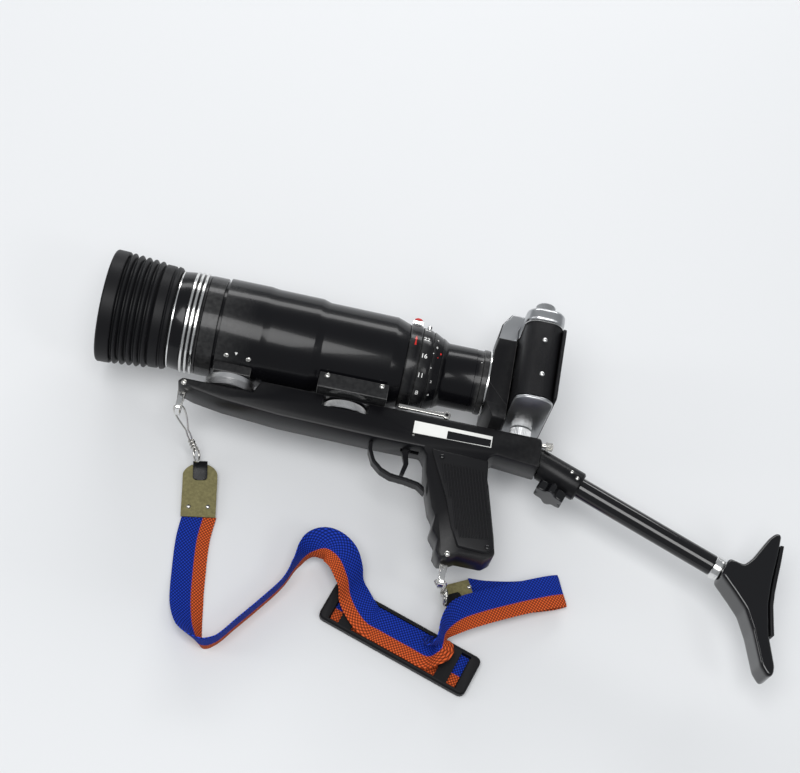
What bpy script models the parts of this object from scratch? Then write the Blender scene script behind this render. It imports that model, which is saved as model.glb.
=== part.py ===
"""Telephoto camera gun: a long lens and a reflex camera on a shoulder gunstock.

The gun lies on its right side. -X is the muzzle, +X the shoulder rest, +Y the gun's top
and +Z its left side. The camera's right end and the strap lie on the ground, z = 0.
Sizes are in millimetres and become metres through MM.
"""
import math

import bmesh
import bpy
from mathutils import Matrix, Vector

MM = 0.001
GAP = 0.3                     # between pieces that touch
SLIDE_GAP = 0.5               # between a sleeve and its bore

# Lens, turned about the bore axis. X is 0 at the camera's lens flange.
BARREL_R = 44.3
BARREL_FRONT = -236.0
BARREL_STEP = -148.0
BARREL_MID_R = 41.2
RINGS_FRONT = -76.5
RING_SEAT_R = 33.0
PRESET_RING_R = 37.8
PRESET_RING_WIDTH = 10.3
APERTURE_RING_R = 36.4
APERTURE_RING_WIDTH = 10.4
CONE_END = -41.0
REAR_TUBE_R = 27.6
LENS_WALL = 3.2
MOUNT_RING_FRONT = -10.0
MOUNT_RING_REAR = -3.3
MOUNT_RING_R = 28.4
SLEEVE_LENGTH = 33.0
FRONT_BARREL_LENGTH = 14.0
FRONT_RING_LENGTH = 26.0
HOOD_LENGTH = 59.0
HOOD_R = 49.0
HOOD_RIBS = 5
HOOD_RIB_PITCH = 6.2
HOOD_WALL = 2.2
FOCUS_TRAVEL = 18.0

# Camera.
CAMERA_HALF_WIDTH = 69.0
CAMERA_FRONT = 17.0
CAMERA_DEPTH = 31.0
DOOR_THICKNESS = 3.0
CAMERA_BOTTOM = -34.0
CAMERA_TOP = 35.0
TOP_COVER_HEIGHT = 13.0
BASE_PLATE_THICKNESS = 3.0
CAMERA_WALL = 3.0
MIRROR_BOX_HALF_WIDTH = 27.0
LIGHT_PATH_HALF = 18.5
PRISM_HALF_WIDTH = 22.0

# Gunstock.
STOCK_HALF_WIDTH = 16.0
STOCK_TOP = -(BARREL_R + 3.3)
CLAMP_WHEEL_R = 19.0
CLAMP_WHEEL_THICKNESS = 7.0
CLAMP_WHEEL_X = -119.0
FOCUS_WHEEL_R = 21.7
FOCUS_WHEEL_X = -219.0
FOOT_HALF_WIDTH = 28.0
FOOT_FRONT = -146.0
FOOT_REAR = -86.0
PANEL_THICKNESS = 3.2
GUARD_THICKNESS = 3.2
GUARD_HALF_WIDTH = 6.0
TRIGGER_PIVOT = (-58.0, -20.5)          # X, and Y below the stock's top
TRIGGER_HALF_WIDTH = 3.0
PIN_R = 1.5

# Shoulder stock.
TUBE_ANGLE = math.radians(-20.5)
TUBE_R = 9.0
TUBE_WALL = 1.5
TUBE_LENGTH = 163.0
SOCKET_R = 13.0
SOCKET_LENGTH = 43.0
SOCKET_FACE = 51.8
REST_HALF_WIDTH = 15.0

# Sling.
WEBBING_WIDTH = 29.0
WEBBING_THICKNESS = 1.6
PAD_LENGTH = 140.0
PAD_WIDTH = 37.0
WIRE_R = 1.2

AXIS_HEIGHT = CAMERA_HALF_WIDTH         # the bore axis above the ground
ORIGIN_X = CAMERA_FRONT + CAMERA_DEPTH / 2      # the origin is under the camera's middle

scene = bpy.context.scene
for old in list(bpy.data.objects):
    bpy.data.objects.remove(old, do_unlink=True)
parts = bpy.data.collections.new("camera_gun")
cutters = bpy.data.collections.new("cutters")
scene.collection.children.link(parts)
scene.collection.children.link(cutters)


# ---- materials ----

def paint(name, colour, roughness, metallic=0.0):
    material = bpy.data.materials.new(name)
    material.use_nodes = True
    shader = material.node_tree.nodes["Principled BSDF"]
    shader.inputs["Base Color"].default_value = (*colour, 1.0)
    shader.inputs["Roughness"].default_value = roughness
    shader.inputs["Metallic"].default_value = metallic
    return material


BLACK = paint("black_paint", (0.012, 0.012, 0.013), 0.4)
SATIN = paint("satin_black", (0.018, 0.018, 0.019), 0.55)
GLOSS = paint("gloss_black", (0.008, 0.008, 0.009), 0.15)
RUBBER = paint("rubber", (0.015, 0.015, 0.016), 0.75)
SILVER = paint("satin_chrome", (0.6, 0.6, 0.6), 0.3, 1.0)
STEEL = paint("steel", (0.5, 0.5, 0.5), 0.25, 1.0)
GRAIN = paint("leatherette", (0.014, 0.014, 0.015), 0.6)
GLASS = paint("glass", (0.5, 0.55, 0.6), 0.05)
MIRROR = paint("mirror", (0.9, 0.9, 0.9), 0.02, 1.0)
PLATE = paint("nameplate", (0.8, 0.8, 0.78), 0.4)
SUEDE = paint("suede", (0.16, 0.14, 0.08), 0.9)
WEBBING = paint("webbing", (0.03, 0.04, 0.45), 0.85)


# ---- builders ----

def world(point):
    """A point given from the bore axis, in millimetres, as a place in metres."""
    return Vector((point[0] - ORIGIN_X, point[1], point[2] + AXIS_HEIGHT)) * MM


def add(name, mesh, material, at=(0, 0, 0), group=parts):
    obj = bpy.data.objects.new(name, mesh)
    obj.location = world(at)
    if material:
        mesh.materials.append(material)
    group.objects.link(obj)
    if group is cutters:
        obj.hide_render = True
        obj.display_type = "WIRE"
    return obj


def smooth(obj, degrees=35):
    obj.data.shade_smooth()
    obj.data.set_sharp_from_angle(angle=math.radians(degrees))


def turned(name, profile, material, at=(0, 0, 0), along=(-1, 0, 0), steps=32, closed=False, group=parts):
    """Turn a profile of (radius, distance along the axis), down its outer side."""
    mesh = bpy.data.meshes.new(name)
    points = [(r * MM, 0, z * MM) for r, z in profile]
    edges = [(i, i + 1) for i in range(len(points) - 1)]
    if closed:
        edges.append((len(points) - 1, 0))
    mesh.from_pydata(points, edges, [])
    obj = add(name, mesh, material, at, group)
    obj.rotation_mode = "QUATERNION"
    obj.rotation_quaternion = Vector(along).to_track_quat("Z", "Y")
    screw = obj.modifiers.new("turn", "SCREW")
    screw.steps = screw.render_steps = steps
    screw.use_merge_vertices = True
    screw.merge_threshold = 0.00001
    screw.use_smooth_shade = True
    return obj


def disc(name, radius, low, high, material, at=(0, 0, 0), along=(-1, 0, 0), steps=24, edge=0.4, group=parts):
    profile = [(0, high), (radius - edge, high), (radius, high - edge),
               (radius, low + edge), (radius - edge, low), (0, low)]
    return turned(name, profile, material, at, along, steps, group=group)


def ring(name, outer, inner, low, high, material, at=(0, 0, 0), along=(-1, 0, 0), steps=32):
    profile = [(inner, high), (outer, high), (outer, low), (inner, low)]
    return turned(name, profile, material, at, along, steps, closed=True)


def lens_turned(name, outline, material, steps=32):
    """A closed profile of (X, radius), front to rear outside and back inside."""
    return turned(name, [(r, -x) for x, r in outline], material, steps=steps, closed=True)


PLANES = {
    "XY": Matrix.Identity(3),
    "XZ": Matrix(((1, 0, 0), (0, 0, -1), (0, 1, 0))),
    "YZ": Matrix(((0, 0, 1), (1, 0, 0), (0, 1, 0))),
}


def slab(name, outline, low, high, material, plane="XY", at=(0, 0, 0), bevel=0.0, holes=(), group=parts,
         segments=1):
    """Extrude an outline in a plane from low to high along the plane's third axis."""
    curve = bpy.data.curves.new(name, "CURVE")
    curve.dimensions = "2D"
    curve.fill_mode = "BOTH"
    curve.extrude = (high - low) / 2 * MM
    for loop in (outline, *holes):
        spline = curve.splines.new("POLY")
        spline.points.add(len(loop) - 1)
        for point, (a, b) in zip(spline.points, loop):
            point.co = (a * MM, b * MM, 0, 1)
        spline.use_cyclic_u = True
    flat = bpy.data.objects.new(name + "_outline", curve)
    cutters.objects.link(flat)
    bpy.context.view_layer.update()
    depsgraph = bpy.context.evaluated_depsgraph_get()
    mesh = bpy.data.meshes.new_from_object(flat.evaluated_get(depsgraph))
    bpy.data.objects.remove(flat)
    bpy.data.curves.remove(curve)
    mesh.materials.clear()
    middle = (low + high) / 2 * MM
    if plane == "XZ":
        middle = -middle
    shift = Matrix.Translation(-Vector(at) * MM)
    mesh.transform(shift @ PLANES[plane].to_4x4() @ Matrix.Translation((0, 0, middle)))
    shape = bmesh.new()
    shape.from_mesh(mesh)
    bmesh.ops.remove_doubles(shape, verts=shape.verts, dist=0.00001)
    bmesh.ops.dissolve_limit(shape, angle_limit=0.01, verts=shape.verts, edges=shape.edges)
    bmesh.ops.recalc_face_normals(shape, faces=shape.faces)
    shape.to_mesh(mesh)
    shape.free()
    mesh.name = name
    obj = add(name, mesh, material, at, group)
    if bevel:
        edge = obj.modifiers.new("edges", "BEVEL")
        edge.width = bevel * MM
        edge.segments = segments
        edge.limit_method = "ANGLE"
        edge.angle_limit = math.radians(40)
    return obj


def block(name, low, high, material, at=(0, 0, 0), bevel=0.0, group=parts):
    outline = [(low[0], low[1]), (high[0], low[1]), (high[0], high[1]), (low[0], high[1])]
    return slab(name, outline, low[2], high[2], material, at=at, bevel=bevel, group=group)


def cut(target, *tools):
    for tool in tools:
        hole = target.modifiers.new(tool.name, "BOOLEAN")
        hole.operation = "DIFFERENCE"
        hole.object = tool
        hole.solver = "EXACT"


def wire(name, points, radius, material, cyclic=False, at=(0, 0, 0), resolution=2):
    """A round wire through points given from the bore axis."""
    curve = bpy.data.curves.new(name, "CURVE")
    curve.dimensions = "3D"
    curve.bevel_depth = radius * MM
    curve.bevel_resolution = resolution
    curve.use_fill_caps = True
    spline = curve.splines.new("POLY")
    spline.points.add(len(points) - 1)
    for point, place in zip(spline.points, points):
        point.co = (*((Vector(place) - Vector(at)) * MM), 1)
    spline.use_cyclic_u = cyclic
    obj = bpy.data.objects.new(name, curve)
    obj.location = world(at)
    curve.materials.append(material)
    parts.objects.link(obj)
    return obj


def arc(centre, radius, start, end, steps):
    """Points on an arc, angles in degrees."""
    angles = [math.radians(start + (end - start) * i / steps) for i in range(steps + 1)]
    return [(centre[0] + radius * math.cos(a), centre[1] + radius * math.sin(a)) for a in angles]


def rounded(low, high, radius, steps=4):
    corners = [((high[0] - radius, high[1] - radius), 0), ((low[0] + radius, high[1] - radius), 90),
               ((low[0] + radius, low[1] + radius), 180), ((high[0] - radius, low[1] + radius), 270)]
    return [p for centre, start in corners for p in arc(centre, radius, start, start + 90, steps)]


def knurled(radius, depth, teeth):
    """A round outline with shallow teeth."""
    count = teeth * 2
    return [((radius - depth * (i % 2)) * math.cos(i * math.tau / count),
             (radius - depth * (i % 2)) * math.sin(i * math.tau / count)) for i in range(count)]


# ---- lens ----

INNER_R = BARREL_R - LENS_WALL
REAR_BORE_R = REAR_TUBE_R - LENS_WALL
SEAT_BORE_R = RING_SEAT_R - LENS_WALL
RINGS_REAR = RINGS_FRONT + PRESET_RING_WIDTH + APERTURE_RING_WIDTH + 2 * GAP


def lens_barrel():
    sleeve_end = BARREL_FRONT + SLEEVE_LENGTH + 6
    outside = [(BARREL_FRONT, BARREL_R), (BARREL_FRONT + 35, BARREL_R), (BARREL_FRONT + 40, BARREL_R - 0.7),
               (BARREL_STEP - 7, BARREL_R - 1.1), (BARREL_STEP, BARREL_MID_R), (-88, BARREL_MID_R - 0.4),
               (RINGS_FRONT - GAP, RING_SEAT_R + 3.2), (RINGS_FRONT - GAP, RING_SEAT_R),
               (RINGS_REAR, RING_SEAT_R), (RINGS_REAR, RING_SEAT_R + 1.6),
               (CONE_END, REAR_TUBE_R), (MOUNT_RING_FRONT - GAP, REAR_TUBE_R)]
    inside = [(MOUNT_RING_FRONT - GAP, REAR_BORE_R), (CONE_END - 4, REAR_BORE_R), (CONE_END - 14, SEAT_BORE_R),
              (RINGS_FRONT - 4, SEAT_BORE_R), (BARREL_STEP, BARREL_MID_R - LENS_WALL), (sleeve_end, INNER_R),
              (BARREL_FRONT, INNER_R)]
    return lens_turned("lens_barrel", outside + inside, BLACK, 32)


def front_cell():
    """Everything that slides forward when the lens is focused."""
    joint = BARREL_FRONT - 2.3
    ring_rear = joint - FRONT_BARREL_LENGTH
    ring_front = ring_rear - FRONT_RING_LENGTH
    sleeve_r = INNER_R - SLIDE_GAP
    bore_r = sleeve_r - LENS_WALL
    thread_r = BARREL_R - 5.0
    lens_turned("front_barrel", [
        (ring_front + 4, thread_r), (ring_rear, thread_r), (ring_rear, BARREL_R - 1.0), (joint, BARREL_R - 1.0),
        (joint, sleeve_r), (joint + SLEEVE_LENGTH, sleeve_r), (joint + SLEEVE_LENGTH, bore_r),
        (ring_front + 4, bore_r)], BLACK, 32)
    lines = []
    for i in range(3):
        start = ring_rear - 14 + i * 4.2
        lines += [(start, BARREL_R - 0.9), (start + 0.8, BARREL_R), (start + 2.8, BARREL_R), (start + 3.6, BARREL_R - 0.9)]
    lens_turned("front_ring", [
        (ring_front, BARREL_R - 3.4), (ring_front + 3, BARREL_R - 2.6), (ring_rear - 15, BARREL_R - 1.6),
        *lines, (ring_rear - GAP, BARREL_R - 1.2), (ring_rear - GAP, thread_r + GAP),
        (ring_front + 4 - GAP, thread_r + GAP), (ring_front + 4 - GAP, bore_r), (ring_front, bore_r)], SILVER, 32)
    element_r = bore_r - GAP
    crown = [(element_r * math.sin(a), 6.0 * math.cos(a)) for a in (0.0, 0.5, 1.0)]
    turned("front_element", crown + [(element_r, 2.0), (element_r, -2.0), (0, -4.5)], GLASS,
           at=(ring_front + 12, 0, 0), steps=24)
    rear = ring_front - GAP
    front = rear - HOOD_LENGTH
    outside = [(front, HOOD_R - 1.5), (front + 1.5, HOOD_R), (front + 12, HOOD_R - 0.4)]
    for i in range(HOOD_RIBS):
        x = front + 12 + i * HOOD_RIB_PITCH
        outside += [(x + 2.4, HOOD_R - 4.2 - 0.3 * i), (x + HOOD_RIB_PITCH, HOOD_R - 0.6 - 0.5 * i)]
    outside += [(rear - 8, HOOD_R - 5.4), (rear - 5, HOOD_R - 3.6), (rear - 1, BARREL_R - 1.4), (rear, BARREL_R - 2)]
    rib_end = front + 12 + HOOD_RIBS * HOOD_RIB_PITCH
    inside = [(rear, bore_r + 0.5), (rib_end, HOOD_R - 4.5 - 0.3 * HOOD_RIBS - HOOD_WALL),
              (front + 12, HOOD_R - 4.2 - HOOD_WALL), (front + 8, HOOD_R - HOOD_WALL), (front, HOOD_R - HOOD_WALL)]
    lens_turned("rubber_hood", outside + inside, RUBBER, 32)


def lens_rings():
    rear = RINGS_FRONT + PRESET_RING_WIDTH
    bore = RING_SEAT_R + GAP
    lens_turned("preset_ring", [
        (RINGS_FRONT, PRESET_RING_R - 0.8), (RINGS_FRONT + 1, PRESET_RING_R), (rear - 1, PRESET_RING_R - 0.6),
        (rear, PRESET_RING_R - 1.2), (rear, bore), (RINGS_FRONT, bore)], BLACK, 36)
    end = rear + GAP + APERTURE_RING_WIDTH
    lens_turned("aperture_ring", [
        (rear + GAP, APERTURE_RING_R), (end - 3, APERTURE_RING_R - 0.8), (end, APERTURE_RING_R - 2.2),
        (end, bore), (rear + GAP, bore)], BLACK, 36)
    disc("preset_knob", 4.6, PRESET_RING_R + GAP, PRESET_RING_R + 6, SILVER,
         at=(RINGS_FRONT + PRESET_RING_WIDTH / 2, 0, 0), along=(0, 0.93, 0.37), steps=20)
    ring("iris", SEAT_BORE_R - GAP, 14.0, 62.0, 63.4, SATIN, steps=24)
    disc("rear_element", REAR_BORE_R - GAP, 19.0, 23.0, GLASS, steps=24)
    ring("lens_mount_ring", MOUNT_RING_R, REAR_BORE_R, -MOUNT_RING_REAR, -MOUNT_RING_FRONT, SILVER, steps=32)


def lens_underside():
    """The lens foot and the focus drive's housing, cut to the barrel."""
    around = turned("barrel_space", [(0, 245), (BARREL_R + GAP, 245), (BARREL_R + GAP, 150), (BARREL_R - 0.6, 150),
                                     (BARREL_R - 0.6, 80), (0, 80)], None, steps=32, group=cutters)
    foot = block("lens_foot", (FOOT_FRONT, STOCK_TOP + GAP, -FOOT_HALF_WIDTH),
                 (FOOT_REAR, -24.0, FOOT_HALF_WIDTH), BLACK)
    cut(foot, around)
    housing = block("focus_housing", (FOCUS_WHEEL_X - 16, -(BARREL_R + 4.0), -20), (FOCUS_WHEEL_X + 16, -30, 20), BLACK)
    cut(housing, around)
    top = -(BARREL_R + 4.0) - GAP
    bottom = STOCK_TOP - 11.4 + GAP
    turned("focus_wheel", [
        (0, top), (FOCUS_WHEEL_R, top), (FOCUS_WHEEL_R, top - 3), (FOCUS_WHEEL_R - 2, top - 4),
        (FOCUS_WHEEL_R - 1, bottom + 1), (FOCUS_WHEEL_R - 2, bottom), (0, bottom)], SILVER,
        at=(FOCUS_WHEEL_X, 0, 0), along=(0, 1, 0), steps=36)


# ---- camera ----

def camera_outline(inset, front, rear):
    half = CAMERA_HALF_WIDTH - inset
    return rounded((front, -half), (rear, half), min(12.0, (rear - front) / 2 - 0.5), 3)


def camera():
    rear = CAMERA_FRONT + CAMERA_DEPTH
    body = slab("camera_body", camera_outline(0, CAMERA_FRONT, rear), CAMERA_BOTTOM, CAMERA_TOP, GRAIN, "XZ")
    inner = CAMERA_HALF_WIDTH - CAMERA_WALL
    film_space = block("film_space", (CAMERA_FRONT + CAMERA_WALL, CAMERA_BOTTOM + CAMERA_WALL, -inner + 9),
                       (rear + 1, CAMERA_TOP - CAMERA_WALL, inner - 9), None, group=cutters)
    throat = block("throat", (CAMERA_FRONT - 1, -LIGHT_PATH_HALF, -LIGHT_PATH_HALF),
                   (CAMERA_FRONT + CAMERA_WALL + 1, LIGHT_PATH_HALF, LIGHT_PATH_HALF), None, group=cutters)
    cut(body, film_space, throat)
    door_back = rear + GAP + DOOR_THICKNESS
    slab("back_door", rounded((CAMERA_BOTTOM + 1, -CAMERA_HALF_WIDTH + 3), (CAMERA_TOP - 1, CAMERA_HALF_WIDTH - 3), 3, 2),
         rear + GAP, door_back, GRAIN, "YZ", at=(rear + 2, 0, -CAMERA_HALF_WIDTH + 3))
    cover_top = CAMERA_TOP + GAP + TOP_COVER_HEIGHT
    cover = slab("top_cover", camera_outline(0, CAMERA_FRONT - 1, rear + 1.5), CAMERA_TOP + GAP, cover_top,
                 SILVER, "XZ", bevel=4.0, segments=2)
    button_well = disc("button_well", 3.8, cover_top - 6, cover_top + 1, None, at=(23.5, 0, -43),
                       along=(0, 1, 0), steps=16, group=cutters)
    cut(cover, button_well)
    slab("base_plate", camera_outline(0.4, CAMERA_FRONT - 0.5, rear + 1.5), CAMERA_BOTTOM - GAP - BASE_PLATE_THICKNESS,
         CAMERA_BOTTOM - GAP, SILVER, "XZ", bevel=1.0)
    box = slab("mirror_box", [(-3, -29), (4, CAMERA_BOTTOM - 8), (CAMERA_FRONT - GAP - 1.2, CAMERA_BOTTOM - 8),
                              (CAMERA_FRONT - GAP - 1.2, -30), (CAMERA_FRONT - GAP - 1.2, CAMERA_TOP - 2),
                              (-1, CAMERA_TOP - 2), (-3, 20)],
               -MIRROR_BOX_HALF_WIDTH, MIRROR_BOX_HALF_WIDTH, BLACK, bevel=0.8)
    path = block("light_path", (-4, -LIGHT_PATH_HALF, -LIGHT_PATH_HALF), (CAMERA_FRONT + 2, LIGHT_PATH_HALF, LIGHT_PATH_HALF),
                 None, group=cutters)
    finder = block("finder_path", (3, LIGHT_PATH_HALF - 1, -14), (13, CAMERA_TOP + 1, 14), None, group=cutters)
    cut(box, path, finder)
    low = CAMERA_TOP - 2 + GAP
    prism_rear = rear - 4
    cover_front = CAMERA_FRONT - 1 - GAP
    hump = slab("prism_cover", [(-1.5, low), (0.5, 48.5), (8, 60), (32, 60), (prism_rear, cover_top + GAP),
                                (cover_front, cover_top + GAP), (cover_front, low)],
                -PRISM_HALF_WIDTH, PRISM_HALF_WIDTH, SILVER, bevel=0.8)
    room = slab("prism_room", [(3, low - 1), (3, 48), (9.5, 57.6), (31, 57.6), (36, cover_top + 3), (13, cover_top + 3),
                               (13, low - 1)], -PRISM_HALF_WIDTH + 2.5, PRISM_HALF_WIDTH - 2.5, None, group=cutters)
    cut(hump, room)
    slab("pentaprism", [(11, 52.4), (31, 52.4), (30, 57), (13, 57)], -15, 15, GLASS)
    disc("eyepiece", 8.6, -(rear + 9), -(rear + 1.5 + GAP), GLOSS, at=(0, cover_top - 5, 0), steps=24)
    slab("film_gate", rounded((-27, -38), (27, 38), 2, 1), CAMERA_FRONT + 20, CAMERA_FRONT + 21.5, SATIN, "YZ",
         holes=[rounded((-12, -18), (12, 18), 0.5, 1)])
    return cover_top


def reflex_mirror():
    """A plate at 45 degrees that swings up about its top edge."""
    hinge = (28.0, 13.5)
    length = 25.0
    outline = [(0, 0), (0, 1.5), (-length, 1.5), (-length, 0)]
    turn = math.radians(45)
    turned_outline = [(hinge[0] + x * math.cos(turn) - y * math.sin(turn),
                       hinge[1] + x * math.sin(turn) + y * math.cos(turn)) for x, y in outline]
    slab("reflex_mirror", turned_outline, -16, 16, MIRROR, at=(*hinge, 0))


def camera_controls(cover_top):
    seat = cover_top + GAP
    slab("rewind_knob", knurled(8.5, 0.5, 16), seat, seat + 8, SILVER, "XZ", at=(0, 0, 0))
    knob = bpy.data.objects["rewind_knob"]
    knob.location = world((32, 0, 54))
    slab("speed_dial", knurled(8, 0.4, 16), seat, seat + 6, SILVER, "XZ")
    bpy.data.objects["speed_dial"].location = world((32, 0, -33))
    lever = [(7 * math.cos(a), 7 * math.sin(a)) for a in [math.radians(30 * k) for k in range(2, 11)]]
    lever += [(8, -6), (16, -3), (17, 1), (15, 3), (8, 4)]
    slab("wind_lever", lever, seat, seat + 4, SILVER, "XZ")
    bpy.data.objects["wind_lever"].location = world((31, 0, -56))
    disc("shutter_button", 3.2, cover_top - 3, cover_top + 3, SILVER, at=(23.5, 0, -43), along=(0, 1, 0), steps=16)
    timer = arc((0, 0), 5, 20, 160, 5) + [(-2.6, -22), (2.6, -22)]
    slab("self_timer_lever", [(y, x) for x, y in timer], CAMERA_FRONT - 4, CAMERA_FRONT - GAP, SILVER, "YZ")
    bpy.data.objects["self_timer_lever"].location = world((0, 12, -42))


# ---- gunstock ----

def below(points):
    """Outline points whose second value is measured down from the stock's top."""
    return [(x, STOCK_TOP + y) for x, y in points]


GRIP = [(-48, -29.9), (-44, -36.4), (-42, -52), (-38, -64.5), (-33, -80), (-28, -87.5), (-29.5, -99), (-23, -108),
        (-23, -117), (-18, -123.4), (-9, -120.4), (-4, -117.4), (19, -117.4), (26, -111.5), (23, -96.5), (12, -52.5), (6, -35),
        (8, -27.5), (14, -23.5)]


def gunstock():
    outline = below([(-262, -15.4), (-258, -11.4), (-198, -11.4), (-193, 0), (50, 0), (SOCKET_FACE - GAP, -4),
                     (SOCKET_FACE - GAP, -27), *reversed(GRIP), (-91, -29.9), (-173, -28.4), (-222, -24.4),
                     (-247, -20.4)])
    frame = slab("gunstock_frame", outline, -STOCK_HALF_WIDTH, STOCK_HALF_WIDTH, SATIN, bevel=2.0, segments=2)
    wheel_low = STOCK_TOP - 3 - CLAMP_WHEEL_THICKNESS
    slot = block("wheel_slot", (CLAMP_WHEEL_X - CLAMP_WHEEL_R - 1, wheel_low - 1, -30),
                 (CLAMP_WHEEL_X + CLAMP_WHEEL_R + 1, STOCK_TOP - 2, 30), None, group=cutters)
    pivot_y = STOCK_TOP + TRIGGER_PIVOT[1]
    trigger_slot = block("trigger_slot", (TRIGGER_PIVOT[0] - 8, STOCK_TOP - 33, -TRIGGER_HALF_WIDTH - SLIDE_GAP),
                         (TRIGGER_PIVOT[0] + 8, pivot_y + 7, TRIGGER_HALF_WIDTH + SLIDE_GAP), None, group=cutters)
    pin_hole = disc("pin_hole", PIN_R + GAP, -20, 20, None, at=(TRIGGER_PIVOT[0], pivot_y, 0), along=(0, 0, 1), steps=12,
                    group=cutters)
    release_hole = disc("release_hole", 2.5, STOCK_TOP - 12, STOCK_TOP + 2, None, at=(12, 0, 0), along=(0, 1, 0), steps=12,
                        group=cutters)
    cut(frame, slot, trigger_slot, pin_hole, release_hole)
    disc("trigger_pin", PIN_R, -STOCK_HALF_WIDTH + 1, STOCK_HALF_WIDTH - 1, STEEL, at=(TRIGGER_PIVOT[0], pivot_y, 0),
         along=(0, 0, 1), steps=12)
    disc("release_pin", 2.0, STOCK_TOP - 10, STOCK_TOP + 3.0, STEEL, at=(12, 0, 0), along=(0, 1, 0), steps=12)
    slab("nameplate", below([(-59, -19.4), (8.5, -18.6), (8.5, -8.2), (-59, -8.2)]), STOCK_HALF_WIDTH + GAP,
         STOCK_HALF_WIDTH + 1.2, PLATE)
    wheel = knurled(CLAMP_WHEEL_R, 0.6, 30)
    slab("lens_clamp_wheel", wheel, wheel_low, wheel_low + CLAMP_WHEEL_THICKNESS, SILVER, "XZ")
    bpy.data.objects["lens_clamp_wheel"].location = world((CLAMP_WHEEL_X, 0, 0))
    knob_top = CAMERA_BOTTOM - 2 * GAP - BASE_PLATE_THICKNESS
    slab("camera_screw_knob", knurled(9.5, 0.5, 18), STOCK_TOP + GAP, knob_top, SILVER, "XZ")
    bpy.data.objects["camera_screw_knob"].location = world((33, 0, 0))
    turned("thumb_screw", [(0, -0.3), (2, -0.3), (2, -3.3), (3.6, -3.5), (3.6, -9), (3.0, -9.5), (0, -9.5)], STEEL,
           at=(SOCKET_FACE - GAP, STOCK_TOP - 4.6, 11), steps=16)
    return pivot_y


def grip_panels():
    outline = below([(-41, -30.5), (8, -31.5), (10, -52), (22, -98), (24, -108), (18, -113), (-6, -112), (-14, -96), (-22, -72), (-35, -44)])
    slab("grip_panel_left", outline, STOCK_HALF_WIDTH + GAP, STOCK_HALF_WIDTH + PANEL_THICKNESS, BLACK, bevel=1.0)
    slab("grip_panel_right", outline, -STOCK_HALF_WIDTH - PANEL_THICKNESS, -STOCK_HALF_WIDTH - GAP, BLACK, bevel=1.0)


def trigger_group(pivot_y):
    x = TRIGGER_PIVOT[0]
    front = [(x - 4, pivot_y + 4), (x - 6, pivot_y - 4), (x - 6.5, pivot_y - 12), (x - 3, pivot_y - 22), (x - 5, pivot_y - 32)]
    back = [(x - 1.5, pivot_y - 33), (x + 1, pivot_y - 22), (x - 1, pivot_y - 12), (x + 4, pivot_y - 4), (x + 4, pivot_y + 4)]
    trigger = slab("trigger", front + back, -TRIGGER_HALF_WIDTH, TRIGGER_HALF_WIDTH, BLACK, at=(x, pivot_y, 0))
    bore = disc("trigger_bore", PIN_R + 0.05, -6, 6, None, at=(x, pivot_y, 0), along=(0, 0, 1), steps=16, group=cutters)
    cut(trigger, bore)
    outer = below([(-93.5, -30.2), (-92.5, -38), (-88, -47.5), (-80, -54.5), (-71, -58), (-58, -59), (-47, -61), (-39.3, -66.5)])
    t = GUARD_THICKNESS
    inner = below([(-90.3, -30.2), (-89.3, -37.5), (-85.4, -45.6), (-78.4, -51.6), (-70.3, -54.8), (-58, -55.8), (-46, -57.8), (-41.0, -60.8)])
    slab("trigger_guard", outer + inner[::-1], -GUARD_HALF_WIDTH, GUARD_HALF_WIDTH, BLACK)
    rod_y = STOCK_TOP + 3.5
    eyelet = arc((-33, rod_y), 3.4, -150, 150, 8)
    slab("release_rod", [(-75, rod_y - 1.7), *eyelet, (-75, rod_y + 1.7)], 12.5, 15.5, STEEL)
    return t


# ---- shoulder stock ----

def on_tube(along, side=0.0):
    """A point at a distance along the stock tube and to its upper side."""
    base = Vector((50.0, STOCK_TOP - 16.0))
    direction = Vector((math.cos(TUBE_ANGLE), math.sin(TUBE_ANGLE)))
    return base + direction * along + Vector((-direction.y, direction.x)) * side


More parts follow.
